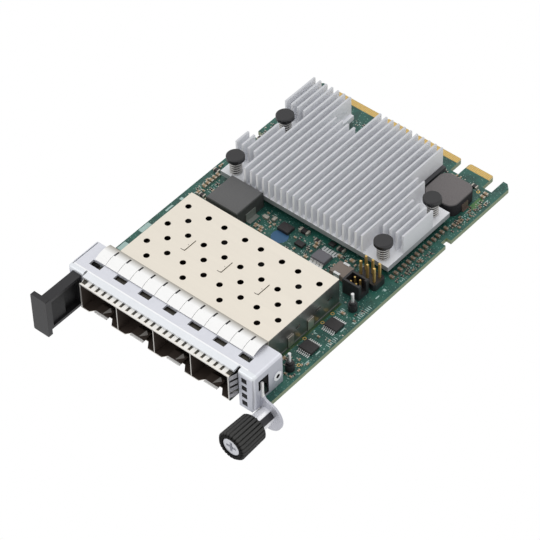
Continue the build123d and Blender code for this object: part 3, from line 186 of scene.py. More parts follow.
def grain_group(name, stretched):
    group = bpy.data.node_groups.new(name, "ShaderNodeTree")
    face = group.interface
    face.new_socket("Color", in_out="INPUT", socket_type="NodeSocketColor")
    for label in ("Shade", "Size", "Roughness"):
        face.new_socket(label, in_out="INPUT", socket_type="NodeSocketFloat")
    if stretched:
        face.new_socket("Stretch", in_out="INPUT", socket_type="NodeSocketVector")
    face.new_socket("Color", in_out="OUTPUT", socket_type="NodeSocketColor")
    face.new_socket("Roughness", in_out="OUTPUT", socket_type="NodeSocketFloat")
    face.new_socket("Height", in_out="OUTPUT", socket_type="NodeSocketFloat")
    nodes, links = group.nodes, group.links
    source, sink = nodes.new("NodeGroupInput"), nodes.new("NodeGroupOutput")
    where = nodes.new("ShaderNodeTexCoord").outputs["Object"]
    if stretched:
        where = vector_node(nodes, links, "MULTIPLY", where, source.outputs["Stretch"])
    noise = nodes.new("ShaderNodeTexNoise")
    noise.inputs["Detail"].default_value = NOISE_DETAIL
    links.new(where, noise.inputs["Vector"])
    links.new(source.outputs["Size"], noise.inputs["Scale"])
    swing = math_node(nodes, links, "SUBTRACT", noise.outputs["Fac"], 0.5)
    amount = math_node(nodes, links, "MULTIPLY", swing, source.outputs["Shade"])
    tint = nodes.new("ShaderNodeVectorMath")
    tint.operation = "SCALE"
    links.new(source.outputs["Color"], tint.inputs[0])
    links.new(math_node(nodes, links, "ADD", amount, 1.0), tint.inputs["Scale"])
    links.new(tint.outputs[0], sink.inputs["Color"])
    links.new(math_node(nodes, links, "ADD", amount, source.outputs["Roughness"]), sink.inputs["Roughness"])
    links.new(noise.outputs["Fac"], sink.inputs["Height"])
    return group


mottle = grain_group("Mottle", False)
brush = grain_group("Brush", True)
print("grain groups:", mottle.name, brush.name)

# %% [markdown]
# ## Zones
# A fold, an inside or an end of a piece often looks unlike the rest of it through light and shade, and
# most zones here are painted light and shade. The solids stay whole, so such a place can't be a piece of
# its own. Instead a group gives a mask that is one inside a box in the part's frame and falls to zero at
# the box's faces over a soft depth. A span that is open on one side runs far past the card.

# %% Zone mask
FAR = 200
ALL = (-FAR, FAR)


def below(value):
    return -FAR, value


def above(value):
    return value, FAR


def around(middle, half):
    return middle - half, middle + half


def box_group():
    group = bpy.data.node_groups.new("Box mask", "ShaderNodeTree")
    for label in ("Low", "High"):
        group.interface.new_socket(label, in_out="INPUT", socket_type="NodeSocketVector")
    group.interface.new_socket("Soft", in_out="INPUT", socket_type="NodeSocketFloat")
    group.interface.new_socket("Mask", in_out="OUTPUT", socket_type="NodeSocketFloat")
    nodes, links = group.nodes, group.links
    source, sink = nodes.new("NodeGroupInput"), nodes.new("NodeGroupOutput")
    where = nodes.new("ShaderNodeTexCoord").outputs["Object"]
    past_low = vector_node(nodes, links, "SUBTRACT", where, source.outputs["Low"])
    under_high = vector_node(nodes, links, "SUBTRACT", source.outputs["High"], where)
    split = nodes.new("ShaderNodeSeparateXYZ")
    links.new(vector_node(nodes, links, "MINIMUM", past_low, under_high), split.inputs[0])
    depth = math_node(nodes, links, "MINIMUM", split.outputs["X"], split.outputs["Y"])
    depth = math_node(nodes, links, "MINIMUM", depth, split.outputs["Z"])
    ramp = math_node(nodes, links, "DIVIDE", depth, source.outputs["Soft"])
    ramp.node.use_clamp = True
    links.new(ramp, sink.inputs["Mask"])
    return group


box_mask = box_group()


def zone_mask(nodes, links, spans, soft):
    mask = nodes.new("ShaderNodeGroup")
    mask.node_tree = box_mask
    mask.inputs["Low"].default_value = Vector([low for low, high in spans]) * MM
    mask.inputs["High"].default_value = Vector([high for low, high in spans]) * MM
    mask.inputs["Soft"].default_value = soft * MM
    return mask.outputs["Mask"]


print("zone mask:", box_mask.name)

# %% [markdown]
# ## One builder for the finishes
# Nearly every material here is the same few nodes with other values: a grain group, a bump from the same
# noise, and zones that mix in another colour, roughness and metal. So one function builds them, and each
# finish below is a single call with its values named.

# %% Finish builder
BUMP_DEPTH = 0.1 * MM
SHARP = 0.02


def blend(nodes, links, kind, factor, a, b):
    """Mix two colours or two values by a mask. Each is given plainly or as a node's output."""
    mix = nodes.new("ShaderNodeMix")
    mix.data_type = kind
    links.new(factor, mix.inputs["Factor"])
    pair = [s for s in mix.inputs if s.enabled and s.name in "AB"]
    for socket, value in zip(pair, (a, b)):
        if isinstance(value, tuple):
            socket.default_value = (*value, 1)
        elif isinstance(value, (int, float)):
            socket.default_value = value
        else:
            links.new(value, socket)
    return next(s for s in mix.outputs if s.enabled)


def zone(color, rough, metal=0.0, soft=SHARP, x=ALL, y=ALL, z=ALL):
    """Another finish inside a box, whose spans are in millimetres."""
    return (x, y, z), soft, color, rough, metal


def add_bump(nodes, links, height, strength):
    relief = nodes.new("ShaderNodeBump")
    relief.inputs["Strength"].default_value = strength
    relief.inputs["Distance"].default_value = BUMP_DEPTH
    links.new(height, relief.inputs["Height"])
    links.new(relief.outputs["Normal"], nodes["Principled BSDF"].inputs["Normal"])


def finish(
    name, color, rough, metal=0.0, shade=0.3, size=900, stretch=None, bump=0.05, gloss=0.5, zones=()
):
    material = bpy.data.materials.new(name)
    material.use_nodes = True
    nodes, links = material.node_tree.nodes, material.node_tree.links
    shader = nodes["Principled BSDF"]
    shader.inputs["Specular IOR Level"].default_value = gloss
    shader.inputs["Metallic"].default_value = metal
    grain = nodes.new("ShaderNodeGroup")
    grain.node_tree = brush if stretch else mottle
    grain.inputs["Shade"].default_value = shade
    grain.inputs["Size"].default_value = size
    if stretch:
        grain.inputs["Stretch"].default_value = stretch
    grain.inputs["Color"].default_value = (*color, 1)
    grain.inputs["Roughness"].default_value = rough
    for spans, soft, zone_color, zone_rough, zone_metal in zones:
        mask = zone_mask(nodes, links, spans, soft)
        color = blend(nodes, links, "RGBA", mask, color, zone_color)
        rough = blend(nodes, links, "FLOAT", mask, rough, zone_rough)
        metal = blend(nodes, links, "FLOAT", mask, metal, zone_metal)
    if zones:
        links.new(color, grain.inputs["Color"])
        links.new(rough, grain.inputs["Roughness"])
        links.new(metal, shader.inputs["Metallic"])
    links.new(grain.outputs["Color"], shader.inputs["Base Color"])
    links.new(grain.outputs["Roughness"], shader.inputs["Roughness"])
    add_bump(nodes, links, grain.outputs["Height"], bump)
    return material


print("sharp zone edge in mm:", SHARP)

# %% [markdown]
# ## Cage
# The cage is stamped and folded from nickel-plated sheet, satin and slightly warm. Ports this deep look
# almost black inside, and that is painted shade; the right wall carries a painted reflection of the dark
# board, and the top under the flange carries painted shade. One material with zones keeps shell, floor and
# dividers alike. The lips of the four latch tongues carry a painted highlight, with painted shade below
# them. The springs round the mouth are thinner, brighter sheet, with painted shade on those at the right.

# %% Cage metal
PORT_COUNT = 4
PORTS = [sum(corner.x for corner in box_mm(f"port_connector_{n + 1}")) / 2 for n in range(PORT_COUNT)]
PORT_SHADE = (0.046, 0.033, 0.026)
TONGUE_HALF_WIDTH = 2.6
cage_low, cage_high = box_mm("cage_shell")
bracket_low, bracket_high = box_mm("bracket")
wall_foot = cage_low.z - 0.2
between_walls = (cage_low.x + 0.15, cage_high.x - 0.15)
wall_z = (wall_foot, cage_high.z - 0.03)
under_flange = (cage_low.y + 0.7, bracket_high.y + 0.4)
cage_zones = [
    # Painted shade inside the ports
    zone(PORT_SHADE, 0.55, x=between_walls, y=below(cage_high.y - 0.2), z=wall_z),
    zone((0.55, 0.53, 0.50), 0.4, 0.6, y=below(cage_low.y + 0.1), z=wall_z),
    # Painted reflection of the dark board on the right wall
    zone((0.33, 0.33, 0.32), 0.3, 1.0, 0.1,
         x=(cage_high.x - 0.1, cage_high.x + 0.25), z=(wall_foot, cage_high.z - 0.15)),
    # Painted shade on the top under the flange
    zone((0.05, 0.045, 0.033), 0.5, 0.2, y=under_flange, z=(cage_high.z - 0.02, cage_high.z + 0.09)),
    zone((0.06, 0.09, 0.07), 0.4, 0.4, x=above(cage_high.x + 0.05), z=(-1, cage_low.z + 0.05)),
]
for x in PORTS:
    tongue = around(x, TONGUE_HALF_WIDTH)
    # Painted shade at the foot of each latch tongue
    cage_zones.append(zone(PORT_SHADE, 0.55, x=tongue, y=below(cage_low.y + 0.5), z=(0, 1.25)))
    # Painted highlight on the lip of each latch tongue
    cage_zones.append(
        zone((0.90, 0.89, 0.87), 0.4, 0.1, x=tongue, y=below(cage_low.y + 0.8), z=(1.15, 1.7)))
cage_metal = finish(
    "cage nickel", (0.79, 0.735, 0.645), rough=0.36, metal=1.0, shade=0.06, size=60, stretch=(1, 12, 12),
    zones=cage_zones,
)
mouth_metal = finish(
    "mouth spring sheet", (0.86, 0.84, 0.80), rough=0.35, metal=0.5, shade=0.1, size=300,
    zones=[
        # Painted shade on the springs at the right side, in the recess by the bracket
        zone((0.40, 0.40, 0.42), 0.35, 0.6, 0.05, x=above(cage_high.x + 0.05), z=below(cage_high.z - 0.2)),
    ],
)
print("cage zones:", len(cage_zones))

# %% [markdown]
# ## Bracket
# The bracket is one folded sheet with bluish zinc plating. Its walls carry painted shade, so its flange is
# paler than they are; the lip in front of the fold has a paler painted light still, and the fold itself is a
# bright painted highlight line. Zones in the order of the list give the lip, the fold, the right wall, the
# front panels and the painted shade inside. Then come the painted shade round the eyelet, the painted
# highlight on its ring and the painted shade in its hole, and last the ear in painted shade and the painted
# highlight on the strip beside it.

# %% Bracket metal
board_low, board_high = box_mm("circuit_board")
FACE_Y = board_low.y - 2.0
WALL_X = board_high.x - 2.6
FLANGE_Z = bracket_high.z
FOLD_Y = FACE_Y + 1.7
EYELET_Y, EYELET_Z = bracket_high.y - 2.4, 4.3
INSIDE_SHADE = (0.03, 0.03, 0.034)
inside_x = (bracket_low.x + 0.7, WALL_X - 0.1)
inside_y = (FACE_Y + 0.7, bracket_high.y - 0.1)
ear_y = (FACE_Y + 2.6, FACE_Y + 3.8)
bracket_metal = finish(
    "bracket zinc", (0.70, 0.71, 0.765), rough=0.4, metal=0.5, shade=0.08, size=500,
    zones=[
        # Painted light on the lip in front of the fold
        zone((0.79, 0.815, 0.85), 0.4, 0.4, 0.1, y=below(FOLD_Y), z=above(FLANGE_Z - 1.2)),
        # Painted highlight along the fold
        zone((0.95, 0.955, 0.97), 0.45, 0.1, 0.15,
             x=below(32), y=around(FOLD_Y, 0.3), z=above(FLANGE_Z - 0.6)),
        # Painted shade on the right wall
        zone((0.42, 0.435, 0.49), 0.42, 0.35, 0.25, x=around(WALL_X, 0.2), z=below(FLANGE_Z - 0.6)),
        # Painted shade on the front panels
        zone((0.56, 0.575, 0.64), 0.42, 0.4, 0.1,
             x=below(WALL_X - 0.3), y=below(FACE_Y + 0.1), z=below(FLANGE_Z - 1.6)),
        # Painted shade inside the bracket
        zone(INSIDE_SHADE, 0.6, x=inside_x, y=inside_y, z=below(FLANGE_Z - 0.7)),
        # Painted shade round the eyelet
        zone((0.27, 0.28, 0.32), 0.45, 0.3, 0.5,
             x=(WALL_X - 0.1, WALL_X + 0.05), y=around(EYELET_Y, 2.2), z=around(EYELET_Z, 2.2)),
        # Painted highlight on the eyelet's ring
        zone((0.88, 0.89, 0.92), 0.35, 0.2,
             x=(WALL_X + 0.05, WALL_X + 0.6), y=around(EYELET_Y, 2.0), z=around(EYELET_Z, 2.0)),
        # Painted shade in the eyelet's hole
        zone(INSIDE_SHADE, 0.6,
             x=(WALL_X - 2.4, WALL_X + 0.29), y=around(EYELET_Y, 0.8), z=around(EYELET_Z, 0.8)),
        # Painted shade on the ear
        zone((0.50, 0.505, 0.56), 0.38, 0.4, 0.3, x=above(WALL_X + 0.15), y=ear_y, z=below(7.3)),
        # Painted highlight on the strip beside the ear
        zone((0.84, 0.83, 0.83), 0.4, 0.2, x=(WALL_X + 0.02, WALL_X + 0.8), y=ear_y, z=(1.5, 7.6)),
    ],
)
print("bracket wall at x in mm:", round(WALL_X, 2))

# %% [markdown]
# ## Fingers and heatsink
# The ground fingers are bright spring sheet, with painted shade that darkens them towards the root. The
# heatsink is extruded and sawn aluminium with a clear coat. Even noise would look cast, so Brush draws its
# noise out along the fins, the way the metal left the die. The fronts of the fins carry a painted highlight,
# the tops are painted darker against the light on them, and the base's edges, the right-most fin and the
# notch carry painted shade.

# %% Finger and heatsink metal
finger_foot = box_mm("ground_fingers")[0].z
finger_metal = finish(
    "finger spring sheet", (0.94, 0.938, 0.93), rough=0.4, metal=0.25, shade=0.04, size=500,
    zones=[
        # Painted shade towards the root of the fingers
        zone((0.40, 0.375, 0.33), 0.4, 0.5, 2.6, y=above(bracket_high.y - 2.3), z=above(finger_foot - 1.2)),
    ],
)
sink_low, sink_high = box_mm("heatsink")
sink_floor = sink_low.z + 1.8
base_z = below(sink_floor - 0.02)
fin_z = (sink_floor + 0.02, sink_high.z - 0.1)
front_y = below(sink_low.y + 0.2)
notch_x, notch_y = (14, 30), (-23.8, -8)
heatsink_metal = finish(
    "anodised aluminium", (0.83, 0.84, 0.87), rough=0.45, metal=0.1, shade=0.05, size=120,
    stretch=(20, 1, 20), bump=0.02,
    zones=[
        # Painted shade on the front of the base
        zone((0.30, 0.325, 0.33), 0.45, 0.3, y=front_y, z=base_z),
        # Painted shade on the right-most fin
        zone((0.66, 0.68, 0.71), 0.45, 0.1, x=above(sink_high.x - 0.425), z=fin_z),
        # Painted shade on the base's right edge
        zone((0.36, 0.38, 0.40), 0.45, 0.3, x=above(sink_high.x - 0.125), z=base_z),
        # Painted shade in the notch
        zone((0.05, 0.05, 0.055), 0.5, 0.1, 0.05, x=notch_x, y=notch_y, z=below(sink_floor + 0.05)),
        # Fin tops painted darker against the light on them
        zone((0.60, 0.61, 0.64), 0.45, 0.1, z=above(sink_high.z - 0.03)),
        # Painted highlight on the fronts of the fins
        zone((0.95, 0.955, 0.97), 0.4, 0.1, 0.1, y=front_y, z=fin_z),
    ],
)
print("heatsink floor at z in mm:", round(sink_floor, 2))

# %% [markdown]
# ## Small metals
# Springs and screws are plated steel, leads are tinned and contacts are gold. The thumbscrew's sleeve is
# so well polished that it mirrors something dark as a streak. A white world has nothing dark to mirror,
# so the streak is a painted reflection in a zone. Solder ends in the crowded strip beside the heatsink
# are darker and browner, a painted shadow of the heatsink.

# %% Small metals
sleeve_low, sleeve_high = box_mm("thumbscrew_sleeve")
screw_axis = (sleeve_low + sleeve_high) / 2
streak_x = (screw_axis.x + 1.35, screw_axis.x + 3.1)
streak_z = (screw_axis.z + 0.6, screw_axis.z + 2.7)
STRIP_X, STRIP_Y = above(33), (-75, -12)
steel = finish("plated steel", (0.46, 0.45, 0.44), rough=0.28, metal=0.9, shade=0.15, size=400)
screw_steel = finish("screw steel", (0.60, 0.61, 0.65), rough=0.3, metal=0.5, shade=0.15, size=400)
sleeve_plate = finish(
    "sleeve plating", (0.90, 0.90, 0.93), rough=0.3, metal=0.3, shade=0.06, size=400,
    # Painted reflection of the dark bracket as a streak on the sleeve
    zones=[zone((0.02, 0.02, 0.025), 0.35, 0.2, 0.15, x=streak_x, z=streak_z)],
)
tin = finish("tin", (0.74, 0.74, 0.74), rough=0.35, metal=0.7, shade=0.25, size=1500)
solder = finish(
    "solder", (0.50, 0.47, 0.41), rough=0.4, metal=0.6, shade=0.35, size=1800,
    # Painted shadow of the heatsink on the solder ends beside it
    zones=[zone((0.33, 0.30, 0.25), 0.4, 0.6, x=STRIP_X, y=STRIP_Y)],
)
dull_tin = finish("dull tin", (0.25, 0.27, 0.25), rough=0.45, metal=0.5, size=1500)
copper_dark = finish("coil terminal", (0.16, 0.12, 0.10), rough=0.45, metal=0.6, shade=0.4, size=1500)
gold = finish("gold plate", (0.71, 0.48, 0.155), rough=0.32, metal=0.8, shade=0.15, size=1500)
print("screw axis in mm:", round(screw_axis.x, 2), round(screw_axis.z, 2))

# %% [markdown]
# ## Plastics
# The pull tab, the push pins and the connectors are moulded near black, with a fine grain that only shows
# in the gloss. The tab is hollow on its near side, and the hollow carries painted shade, as does a push pin
# below its head, so both take a zone. The light pipe sits deep in its windows, so it is painted near black
# as their shade and has little gloss. The print on the board is a thick ink, which looks dull.

# %% Plastic finishes
tab_low, tab_high = box_mm("pull_tab")
pin_top = box_mm("push_pin_1")[1].z
hollow_x = (tab_low.x + 2.8, tab_high.x - 0.35)
hollow_y = (tab_low.y + 0.9, tab_high.y - 2.9)
hollow_z = (tab_low.z + 2.1, tab_high.z - 1.5)
black_plastic = finish("black moulding", (0.013, 0.0125, 0.0145), rough=0.40, shade=0.4, size=2500, bump=0.15)
tab_plastic = finish(
    "tab moulding", (0.014, 0.0135, 0.0155), rough=0.42, size=2500, bump=0.12, gloss=0.4,
    # Painted shade in the tab's hollow
    zones=[zone((0.004, 0.004, 0.005), 0.6, soft=0.05, x=hollow_x, y=hollow_y, z=hollow_z)],
)
pin_plastic = finish(
    "pin moulding", (0.014, 0.0135, 0.0155), rough=0.4, size=2500, bump=0.1,
    # Painted shade below the push pin's head
    zones=[zone((0.005, 0.005, 0.006), 0.5, soft=0.2, z=(0, pin_top - 0.6))],
)
connector_black = finish(
    "connector moulding", (0.010, 0.009, 0.009), rough=0.5, shade=0.4, size=2500, bump=0.15,
)
# The light pipe painted near black as the shade of its deep windows
pipe_dark = finish("pipe moulding in painted shade", (0.004, 0.004, 0.006), rough=0.6, gloss=0.2)
silk_white = finish("silkscreen", (0.38, 0.53, 0.50), rough=0.6, size=4000)
print("push pin head at z in mm:", round(pin_top, 2))

# %% [markdown]
# ## Packages and cores
# Chips are filled resin, dull and grainy. The inductors are pressed powder, with painted light that makes
# them grey on top and painted shade that makes them darker on their sides. The one by the cage has a sharp
# edge between the two and the rear one a rounded edge, so its zone is softer. The small capacitors are
# fired ceramic, with a darker painted shadow beside the heatsink.

# %% Package finishes
left_top = box_mm("inductor_left")[1].z
rear_top = box_mm("inductor_rear")[1].z
chip_black = finish("chip package", (0.020, 0.018, 0.019), rough=0.5, shade=0.5, size=3500, bump=0.2)
chip_grey = finish("grey chip package", (0.135, 0.132, 0.150), rough=0.5, size=3500, bump=0.2)
core_left = finish(
    "pressed core", (0.045, 0.048, 0.046), rough=0.6, shade=0.6, size=3000, bump=0.35,
    # Painted light on the top of the inductor
    zones=[zone((0.105, 0.105, 0.106), 0.6, soft=0.05, z=above(left_top - 0.1))],
)
core_rear = finish(
    "pale pressed core", (0.026, 0.025, 0.028), rough=0.55, shade=0.5, size=3000, bump=0.35, gloss=0.1,
    # Painted light on the top of the rear inductor, softened over its rounded edge
    zones=[zone((0.175, 0.163, 0.163), 0.6, soft=0.4, z=above(rear_top - 0.4))],
)
block_brown = finish("brown case", (0.21, 0.17, 0.145), rough=0.5, shade=0.4, size=2500)
ceramic_tan = finish(
    "fired ceramic", (0.36, 0.25, 0.15), rough=0.5, shade=0.4, size=2000,
    # Painted shadow of the heatsink on the capacitors beside it
    zones=[zone((0.19, 0.13, 0.085), 0.5, x=STRIP_X, y=STRIP_Y)],
)
thermal_grey = finish("thermal pad", (0.35, 0.36, 0.38), rough=0.8, size=1500)
print("inductor tops in mm:", round(left_top, 2), round(rear_top, 2))

# %% [markdown]
# ## Knob
# The knob is coated black and knurled along its length. Its grooves hold less light than its ribs, and that
# shade is painted. A box zone can't follow grooves that turn with the knob, so the material measures each
# point's distance from the screw's axis and goes from the painted shade of the grooves to the grey of the
# ribs.

# %% Knob finish
GROOVE_RADIUS, RIB_RADIUS = 4.25, 4.7
# Painted shade in the knob's grooves, lighter on its ribs
GROOVE_COLOR, RIB_COLOR = (0.010, 0.010, 0.010), (0.064, 0.064, 0.063)
knob_black = bpy.data.materials.new("knob coating")
knob_black.use_nodes = True
nodes, links = knob_black.node_tree.nodes, knob_black.node_tree.links
shader = nodes["Principled BSDF"]
shader.inputs["Specular IOR Level"].default_value = 0.05
split = nodes.new("ShaderNodeSeparateXYZ")
links.new(nodes.new("ShaderNodeTexCoord").outputs["Object"], split.inputs[0])
out_x = math_node(nodes, links, "SUBTRACT", split.outputs["X"], screw_axis.x * MM)
out_z = math_node(nodes, links, "SUBTRACT", split.outputs["Z"], screw_axis.z * MM)
squares = [math_node(nodes, links, "MULTIPLY", side, side) for side in (out_x, out_z)]
radius = math_node(nodes, links, "SQRT", math_node(nodes, links, "ADD", *squares))
ramp = nodes.new("ShaderNodeMapRange")
ramp.inputs["From Min"].default_value = GROOVE_RADIUS * MM
ramp.inputs["From Max"].default_value = RIB_RADIUS * MM
links.new(radius, ramp.inputs["Value"])
grip = nodes.new("ShaderNodeGroup")
grip.node_tree = mottle
grip.inputs["Shade"].default_value = 0.4
grip.inputs["Size"].default_value = 2000
grip.inputs["Roughness"].default_value = 0.6
knob_color = blend(nodes, links, "RGBA", ramp.outputs["Result"], GROOVE_COLOR, RIB_COLOR)
links.new(knob_color, grip.inputs["Color"])
links.new(grip.outputs["Color"], shader.inputs["Base Color"])
links.new(grip.outputs["Roughness"], shader.inputs["Roughness"])
print("knob shade from radius", GROOVE_RADIUS, "to", RIB_RADIUS, "mm")

# %% [markdown]
# ## Solder mask
# The board is dark green mask over copper. An image could show every trace, but only procedural nodes are
# used, so a node group mixes broad copper pours that show paler through the mask, fine traces from cell
# edges, and small bare pads from cell centres. The crowded strip along the right edge is a touch paler.
# On the cut edges the pale fibre board shows, picked out by the direction of the face, and towards the
# card edge's tip the copper is bare.

# %% Solder mask group
POUR_SCALE, TRACE_SCALE, PAD_SCALE = 140, 1500, 1300
MASK_GREEN, POUR_GREEN = (0.007, 0.052, 0.040), (0.013, 0.105, 0.076)
TRACE_GREEN, PAD_GREEN = (0.018, 0.105, 0.085), (0.20, 0.36, 0.31)
STRIP_GREEN, STRIP_TINT, STRIP_DEPTH = (0.035, 0.20, 0.145), 0.03, 0.2
EDGE_COPPER, EDGE_HALF, EDGE_START, EDGE_SOFT = (0.50, 0.40, 0.20), 34.7, -2.5, 0.2
FIBRE = (0.17, 0.225, 0.115)
MASK_ROUGHNESS, MASK_BUMP = 0.42, 0.12


def mask_group():
    group = bpy.data.node_groups.new("Solder mask", "ShaderNodeTree")
    group.interface.new_socket("Color", in_out="OUTPUT", socket_type="NodeSocketColor")
    group.interface.new_socket("Height", in_out="OUTPUT", socket_type="NodeSocketFloat")
    nodes, links = group.nodes, group.links
    sink = nodes.new("NodeGroupOutput")
    where = nodes.new("ShaderNodeTexCoord").outputs["Object"]

    def texture(kind, scale, **settings):
        node = nodes.new(kind)
        node.inputs["Scale"].default_value = scale
        for label, value in settings.items():
            setattr(node, label, value)
        links.new(where, node.inputs["Vector"])
        return node

    def step(value, low, high):
        ramp = nodes.new("ShaderNodeMapRange")
        ramp.inputs["From Min"].default_value = low
        ramp.inputs["From Max"].default_value = high
        links.new(value, ramp.inputs["Value"])
        return ramp.outputs["Result"]

    def over(factor, a, b):
        return blend(nodes, links, "RGBA", factor, a, b)

    pours = texture("ShaderNodeTexNoise", POUR_SCALE)
    color = over(step(pours.outputs["Fac"], 0.45, 0.58), MASK_GREEN, POUR_GREEN)
    traces = texture("ShaderNodeTexVoronoi", TRACE_SCALE, distance="MANHATTAN", feature="DISTANCE_TO_EDGE")
    color = over(step(traces.outputs["Distance"], 0.1, 0.03), color, TRACE_GREEN)
    pads = texture("ShaderNodeTexVoronoi", PAD_SCALE, distance="CHEBYCHEV")
    color = over(step(pads.outputs["Distance"], 0.17, 0.12), color, PAD_GREEN)
    strip = zone_mask(nodes, links, (STRIP_X, ALL, around(0, STRIP_DEPTH)), STRIP_DEPTH)
    color = over(math_node(nodes, links, "MULTIPLY", strip, STRIP_TINT), color, STRIP_GREEN)
    edge = zone_mask(nodes, links, (around(0, EDGE_HALF), above(EDGE_START), ALL), EDGE_SOFT)
    color = over(edge, color, EDGE_COPPER)
    face = nodes.new("ShaderNodeSeparateXYZ")
    links.new(nodes.new("ShaderNodeNewGeometry").outputs["True Normal"], face.inputs[0])
    flat = math_node(nodes, links, "ABSOLUTE", face.outputs["Z"])
    color = over(step(flat, 0.7, 0.5), color, FIBRE)
    links.new(color, sink.inputs["Color"])
    links.new(traces.outputs["Distance"], sink.inputs["Height"])
    return group


board_mask = bpy.data.materials.new("solder mask")
board_mask.use_nodes = True
nodes, links = board_mask.node_tree.nodes, board_mask.node_tree.links
shader = nodes["Principled BSDF"]
shader.inputs["Roughness"].default_value = MASK_ROUGHNESS
detail = nodes.new("ShaderNodeGroup")
detail.node_tree = mask_group()
links.new(detail.outputs["Color"], shader.inputs["Base Color"])
add_bump(nodes, links, detail.outputs["Height"], MASK_BUMP)
print("solder mask nodes:", len(detail.node_tree.nodes))

# %% [markdown]
# ## Finishes on the solids
# Each CAD node takes one finish. Naming all 51 would be a long list, so a node takes the finish of the
# longest name here that its own name starts with, and names that share a beginning are set together.

# %% Assign finishes
FINISHES = {
    "circuit_board": board_mask, "edge_contacts": gold,
    "cage_": cage_metal, "port_connector": connector_black, "mouth_springs": mouth_metal,
    "bracket": bracket_metal, "bracket_screws": steel, "ground_fingers": finger_metal,
    "light_pipe": pipe_dark, "pull_tab": tab_plastic,
    "thumbscrew_": steel, "thumbscrew_sleeve": sleeve_plate, "thumbscrew_screw": screw_steel,
    "thumbscrew_knob": knob_black,
    "heatsink": heatsink_metal, "network_chip": chip_black, "thermal_pad": thermal_grey,
    "push_pin": pin_plastic, "pin_spring": steel,
    "inductor_left": core_left, "inductor_left_terminals": dull_tin,
    "inductor_rear": core_rear, "inductor_rear_terminals": copper_dark,
    "capacitor_block": block_brown, "capacitor_block_terminals": tin,
    "header_base": black_plastic, "header_pins": gold, "shroud_shell": black_plastic, "shroud_pins": gold,
    "post_insulators": black_plastic, "post_pins": tin,
    "power_chip": chip_grey, "power_chip_leads": tin, "edge_chips": chip_black, "edge_chip_leads": tin,
    "small_chips": chip_black, "capacitors": ceramic_tan, "capacitor_ends": solder,
}
for name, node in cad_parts.items():
    key = max((start for start in FINISHES if name.startswith(start)), key=len)
    node.data.materials.clear()
    node.data.materials.append(FINISHES[key])
print("finished nodes:", len(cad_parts))

# %% [markdown]
# ## Spring wire
# The solids' springs have flat-sided wire, to keep them light. A curve with a bevel would give round wire
# too, but a mesh made from a formula needs no conversion: a circle of points is carried along a helix.
# The first and last coils lie flat, as on a spring whose ends are closed.

# %% Spring wire
END_COIL = 0.8
POINTS_AROUND, POINTS_PER_TURN = 16, 28


def add_mesh(name, points, faces, material, body="card", smooth=False):
    """A new piece from points in millimetres, riding on a body."""
    mesh = bpy.data.meshes.new(name)
    mesh.from_pydata([Vector(p) * MM for p in points], [], faces)
    mesh.materials.append(material)
    if smooth:
        mesh.shade_smooth()
    piece = bpy.data.objects.new(name, mesh)
    bpy.context.collection.objects.link(piece)
    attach(piece, body)
    return piece


def spring_mesh(centre, length, radius, wire, turns):
    """Round wire wound up from a centre along Z."""
    count = turns * POINTS_PER_TURN
    points, faces = [], []
    for i in range(count + 1):
        angle = 2 * math.pi * i / POINTS_PER_TURN
        climb = (i / count * turns - END_COIL) / (turns - 2 * END_COIL)
        height = wire / 2 + min(max(climb, 0), 1) * (length - wire)
        out = Vector((math.cos(angle), math.sin(angle), 0))
        for j in range(POINTS_AROUND):
            turn = 2 * math.pi * j / POINTS_AROUND
            across, upward = wire / 2 * math.cos(turn), wire / 2 * math.sin(turn)
            points.append(Vector(centre) + out * (radius + across) + Vector((0, 0, height + upward)))
    for i in range(count):
        for j in range(POINTS_AROUND):
            a, b = i * POINTS_AROUND + j, i * POINTS_AROUND + (j + 1) % POINTS_AROUND
            faces.append((a, b, b + POINTS_AROUND, a + POINTS_AROUND))
    faces.append(tuple(range(POINTS_AROUND))[::-1])
    faces.append(tuple(range(count * POINTS_AROUND, (count + 1) * POINTS_AROUND)))
    return points, faces


print("points in one turn of wire:", POINTS_AROUND * POINTS_PER_TURN)

# %% [markdown]
# ## Springs
# Each push pin stands on a spring, and a fifth one is hidden in the thumbscrew's knob. Each round spring
# takes the place of a solid one, which is hidden: a pin's rides on the card, and the knob's on the body
# named after the thumbscrew's spring.

# %% Round springs
PIN_COUNT = 4
PIN_SPRING_RADIUS, PIN_SPRING_WIRE, PIN_SPRING_TURNS = 1.78, 0.46, 7
KNOB_SPRING_WIRE, KNOB_SPRING_TURNS = 0.4, 4
for number in range(1, PIN_COUNT + 1):
    low, high = box_mm(f"pin_spring_{number}")
    axis = sum(box_mm(f"push_pin_{number}"), Vector()) / 2
    points, faces = spring_mesh(
        (axis.x, axis.y, low.z), high.z - low.z, PIN_SPRING_RADIUS, PIN_SPRING_WIRE, PIN_SPRING_TURNS)
    spring = add_mesh(f"round_spring_{number}", points, faces, steel, smooth=True)
    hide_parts(f"pin_spring_{number}")
    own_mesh(spring)
low, high = box_mm("thumbscrew_spring")
length = high.y - low.y
knob_spring_radius = (high.x - low.x - KNOB_SPRING_WIRE) / 2
points, faces = spring_mesh((0, 0, 0), length, knob_spring_radius, KNOB_SPRING_WIRE, KNOB_SPRING_TURNS)
screw_x, screw_z = (low.x + high.x) / 2, (low.z + high.z) / 2
points = [(screw_x + p.x, low.y + p.z, screw_z - p.y) for p in points]
spring = add_mesh("round_knob_spring", points, faces, steel, "thumbscrew_spring", smooth=True)
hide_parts("thumbscrew_spring")
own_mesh(spring)
print("springs made, knob spring length:", round(length, 2))

# %% [markdown]
# ## Room on the board
# The free fields of the board are crowded with chip capacitors, resistors and small packages that are too
# small for the solids. Placing each by hand would be a long table, so they are scattered over named
# fields. A list of rectangles holds what stands on the board already, and a new part takes a place only
# if it is clear.

